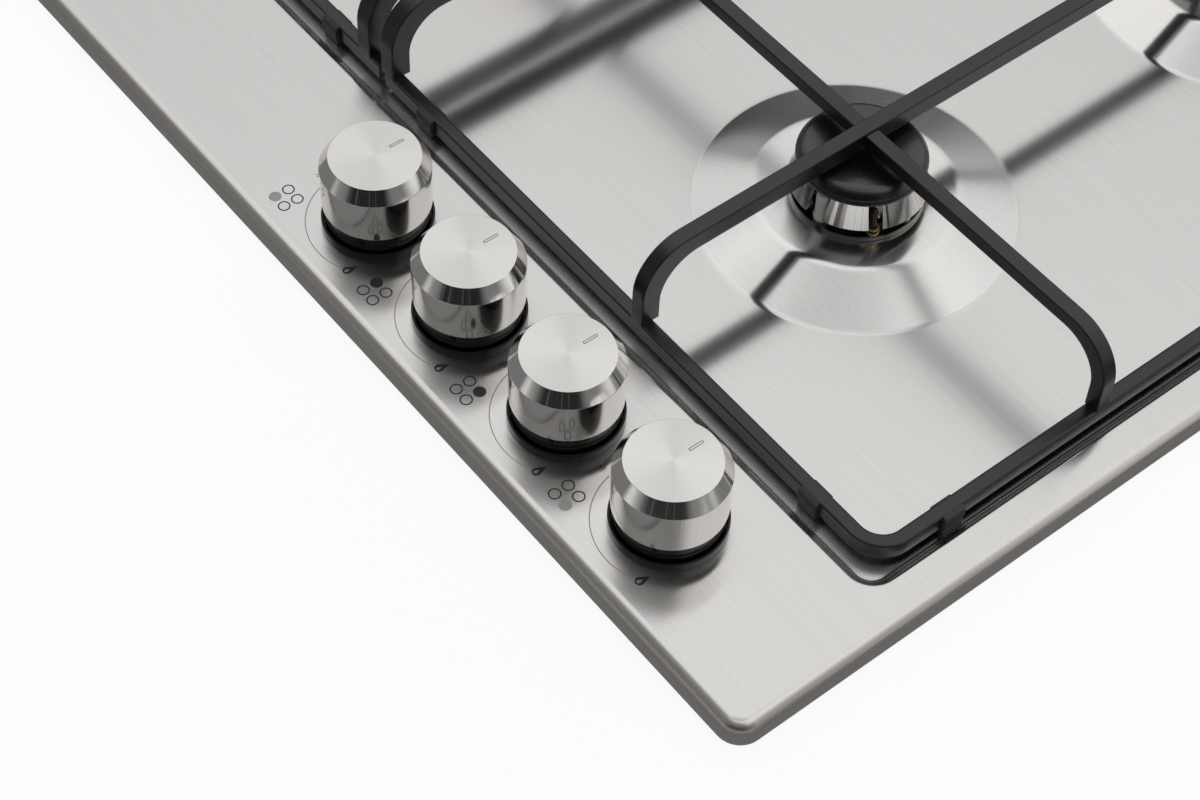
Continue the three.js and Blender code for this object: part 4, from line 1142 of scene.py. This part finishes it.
def build_world(stage):
    """A white room. Shiny surfaces also see a streaked dark screen at the camera and a dark wall behind."""
    world = bpy.data.worlds.new("Room")
    bpy.context.scene.world = world
    world.use_nodes = True
    tree = world.node_tree

    def maths(operation, *values):
        return add_node(tree, "ShaderNodeMath", dict(enumerate(values)), operation=operation).outputs[0]

    def fade(value, start, end):
        """1 below `start` degrees, 0 above `end` degrees."""
        return map_range(tree, value, math.radians(start), math.radians(end), 1.0, 0.0,
                         interpolation_type="SMOOTHSTEP")

    def wall(azimuth, half_width, side_end, height, top_end):
        """1 on a part of the wall round an azimuth, fading to 0 at its side and top ends. In degrees."""
        turn = maths("SUBTRACT", around, math.radians(azimuth))
        off = maths("ABSOLUTE", maths("WRAP", turn, math.pi, -math.pi))
        return maths("MULTIPLY", fade(off, half_width, side_end), fade(rise, height, top_end))

    direction = add_node(tree, "ShaderNodeTexCoord").outputs["Generated"]
    parts = add_node(tree, "ShaderNodeSeparateXYZ", {"Vector": direction}).outputs
    around = maths("ARCTAN2", parts["Y"], parts["X"])
    rise = maths("ARCSINE", parts["Z"])

    # The dark screen in front, round the camera, with its lighter streaks.
    streak = add_node(tree, "ShaderNodeTexNoise", {"Scale": 15.0, "Detail": 4.0, "W": around},
                      noise_dimensions="1D").outputs[0]
    screen = map_range(tree, streak, 0.54, 0.75, stage.screen, 0.1)
    front = wall(-50, 30, 48, 30, 44)
    # Greyer walls on both sides of it, the dark wall behind, and the light strip at the horizon.
    lifted = maths("SUBTRACT", 1.0, fade(rise, 32, 41))
    upper = maths("MULTIPLY", wall(-79, 60, 78, 60, 74), lifted)
    grey = maths("MAXIMUM", wall(-66, 80, 112, 34, 52), upper)
    behind = wall(143, 18, 52, 16, 30)
    horizon = wall(-50, 60, 80, 2, 8)
    # The ceiling is a little brighter than the walls, and darker straight above.
    ceiling = maths("SUBTRACT", 1.0, fade(rise, 44, 57))
    zenith = maths("SUBTRACT", 1.0, fade(rise, 70, 81))
    room = maths("SUBTRACT", maths("MULTIPLY_ADD", ceiling, 0.2, 0.9), maths("MULTIPLY", zenith, 0.42))
    room = maths("MULTIPLY", room, maths("SUBTRACT", 1.0, maths("MULTIPLY", grey, 0.77)))
    shade = maths("MULTIPLY_ADD", behind, 0.78, maths("MULTIPLY", front, maths("SUBTRACT", room, screen)))
    dimmed = maths("MAXIMUM", maths("SUBTRACT", room, shade), 0.01)
    mirrored = maths("MAXIMUM", dimmed, maths("MULTIPLY", horizon, 0.9))

    rays = add_node(tree, "ShaderNodeLightPath").outputs
    seen = maths("MAXIMUM", rays["Is Camera Ray"], rays["Is Transmission Ray"])
    plain = maths("MULTIPLY_ADD", seen, 1.0 - stage.fill, stage.fill)
    change = maths("MULTIPLY", rays["Is Glossy Ray"], maths("SUBTRACT", mirrored, plain))
    background = tree.nodes["Background"]
    background.inputs["Color"].default_value = (1.0, 1.0, 1.0, 1.0)
    tree.links.new(maths("ADD", plain, change), background.inputs["Strength"])


def build_floor(plate):
    """The pale worktop, with the cut-out that the cooktop drops into."""
    shell = Shell()
    z = plate.worktop - 0.15 * MM
    outer = shell.ring(rounded_rectangle(-6, 6, -6, 6, 0.5, 4), z)
    hole = shell.ring(rounded_rectangle(-0.280, 0.280, -0.240, 0.240, 0.012, 6), z)
    shell.flat(outer, [hole])
    floor = bpy.data.objects.new("Worktop_stage", shell.mesh("worktop"))
    bpy.context.scene.collection.objects.link(floor)
    material = new_material("Pale worktop", (0.86, 0.86, 0.86), 0.8)
    tree = material.node_tree
    rays = add_node(tree, "ShaderNodeLightPath").outputs
    # The eye sees a nearly plain white with a light shadow in it. Shiny surfaces see a darker surround.
    share = add_node(tree, "ShaderNodeMath", {0: rays["Is Camera Ray"], 1: 0.9}, operation="MULTIPLY")
    seen = add_node(tree, "ShaderNodeMixShader", {
        0: share.outputs["Value"], 1: tree.nodes["Principled BSDF"].outputs["BSDF"],
        2: add_node(tree, "ShaderNodeEmission").outputs["Emission"],
    })
    mirrored = add_node(tree, "ShaderNodeMixShader", {
        0: rays["Is Glossy Ray"], 1: seen.outputs["Shader"],
        2: add_node(tree, "ShaderNodeEmission", {"Strength": 0.2}).outputs["Emission"],
    })
    tree.links.new(mirrored.outputs["Shader"], tree.nodes["Material Output"].inputs["Surface"])
    floor.data.materials.append(material)


def build_camera(stage):
    """The photograph's view."""
    data = bpy.data.cameras.new("Camera")
    data.lens, data.sensor_width, data.sensor_fit = stage.lens, 36.0, "HORIZONTAL"
    data.clip_start, data.clip_end = 0.05, 50.0
    camera = bpy.data.objects.new("Camera", data)
    right = Vector((0.620392, 0.783805, 0.027649))
    up = Vector((-0.635023, 0.481315, 0.604220))
    axes = Matrix((right, up, right.cross(up))).transposed().to_4x4()
    camera.matrix_world = Matrix.Translation((0.573944, -0.555016, 0.755674)) @ axes
    bpy.context.scene.collection.objects.link(camera)
    bpy.context.scene.camera = camera


def build_lamp(stage):
    """One large soft lamp above and behind the cooktop."""
    data = bpy.data.lights.new("Soft lamp", "AREA")
    data.shape, data.size, data.energy = "DISK", 2.6, stage.key
    lamp = bpy.data.objects.new("Soft_lamp", data)
    lamp.location = (-0.5, 0.9, 2.3)
    lamp.rotation_euler = (Vector((0, 0, 0.05)) - lamp.location).to_track_quat("-Z", "Y").to_euler()
    lamp.visible_glossy = False
    lamp.visible_camera = False
    bpy.context.scene.collection.objects.link(lamp)


# ---------------------------------------------------------------- operators


class CooktopOperator:
    """What every build step shares."""

    bl_options = {"REGISTER", "UNDO"}


class COOKTOP_OT_stage(CooktopOperator, Operator):
    """Sets the camera, the room, the lamp and the pale worktop"""

    bl_idname = "cooktop.stage"
    bl_label = "Set the Stage"

    def execute(self, context):
        stage = context.scene.cooktop_stage
        context.scene.view_settings.view_transform = "Standard"
        build_camera(stage)
        build_world(stage)
        build_lamp(stage)
        build_floor(context.scene.cooktop_plate)
        return {"FINISHED"}


class COOKTOP_OT_plate(CooktopOperator, Operator):
    """Presses the steel plate with its well and burner seats"""

    bl_idname = "cooktop.plate"
    bl_label = "Press the Plate"

    def execute(self, context):
        build_plate(context)
        return {"FINISHED"}


class COOKTOP_OT_marks(CooktopOperator, Operator):
    """Prints the marks round the knobs"""

    bl_idname = "cooktop.marks"
    bl_label = "Print the Marks"

    def execute(self, context):
        print_marks(context)
        return {"FINISHED"}


class COOKTOP_OT_supports(CooktopOperator, Operator):
    """Builds the two pan supports and their feet"""

    bl_idname = "cooktop.supports"
    bl_label = "Build the Pan Supports"

    def execute(self, context):
        build_supports(context)
        return {"FINISHED"}


class COOKTOP_OT_burners(CooktopOperator, Operator):
    """Builds the four burners"""

    bl_idname = "cooktop.burners"
    bl_label = "Build the Burners"

    def execute(self, context):
        build_burners(context)
        return {"FINISHED"}


class COOKTOP_OT_knobs(CooktopOperator, Operator):
    """Builds the four knobs and their bezels"""

    bl_idname = "cooktop.knobs"
    bl_label = "Build the Knobs"

    def execute(self, context):
        build_knobs(context)
        return {"FINISHED"}


class COOKTOP_OT_hidden_parts(CooktopOperator, Operator):
    """Gives the casing, gas parts and wiring parts their materials"""

    bl_idname = "cooktop.hidden_parts"
    bl_label = "Coat the Hidden Parts"

    def execute(self, context):
        coat_hidden_parts(context)
        return {"FINISHED"}


STEPS = (COOKTOP_OT_stage, COOKTOP_OT_plate, COOKTOP_OT_marks, COOKTOP_OT_supports, COOKTOP_OT_burners,
         COOKTOP_OT_knobs, COOKTOP_OT_hidden_parts)


class COOKTOP_PT_panel(Panel):
    """Lists the build steps and the sizes and colours they use"""

    bl_idname = "COOKTOP_PT_panel"
    bl_label = "Gas Cooktop"
    bl_space_type = "VIEW_3D"
    bl_region_type = "UI"
    bl_category = "Cooktop"

    def draw(self, context):
        steps = self.layout.column(align=True)
        for step in STEPS:
            steps.operator(step.bl_idname)
        for label, field in SETTINGS.items():
            group = self.layout.box()
            group.label(text=label)
            values = getattr(context.scene, field)
            for key in values.__annotations__:
                group.prop(values, key)


SETTINGS = {"Plate": "cooktop_plate", "Burners": "cooktop_burners", "Pan supports": "cooktop_supports",
            "Knobs": "cooktop_knobs", "Finishes": "cooktop_finishes", "Stage": "cooktop_stage"}
GROUPS = (PlateSizes, BurnerSizes, SupportSizes, KnobSizes, Finishes, StageSettings)
CLASSES = (*GROUPS, *STEPS, COOKTOP_PT_panel)


def register():
    for cls in CLASSES:
        bpy.utils.register_class(cls)
    for field, group in zip(SETTINGS.values(), GROUPS):
        setattr(bpy.types.Scene, field, PointerProperty(type=group))


def unregister():
    for field in SETTINGS.values():
        delattr(bpy.types.Scene, field)
    for cls in reversed(CLASSES):
        bpy.utils.unregister_class(cls)


def main():
    """Builds the whole scene in order."""
    register()
    bpy.ops.cooktop.stage()
    bpy.ops.cooktop.plate()
    bpy.ops.cooktop.marks()
    bpy.ops.cooktop.supports()
    bpy.ops.cooktop.burners()
    bpy.ops.cooktop.knobs()
    bpy.ops.cooktop.hidden_parts()


if __name__ == "__main__":
    main()
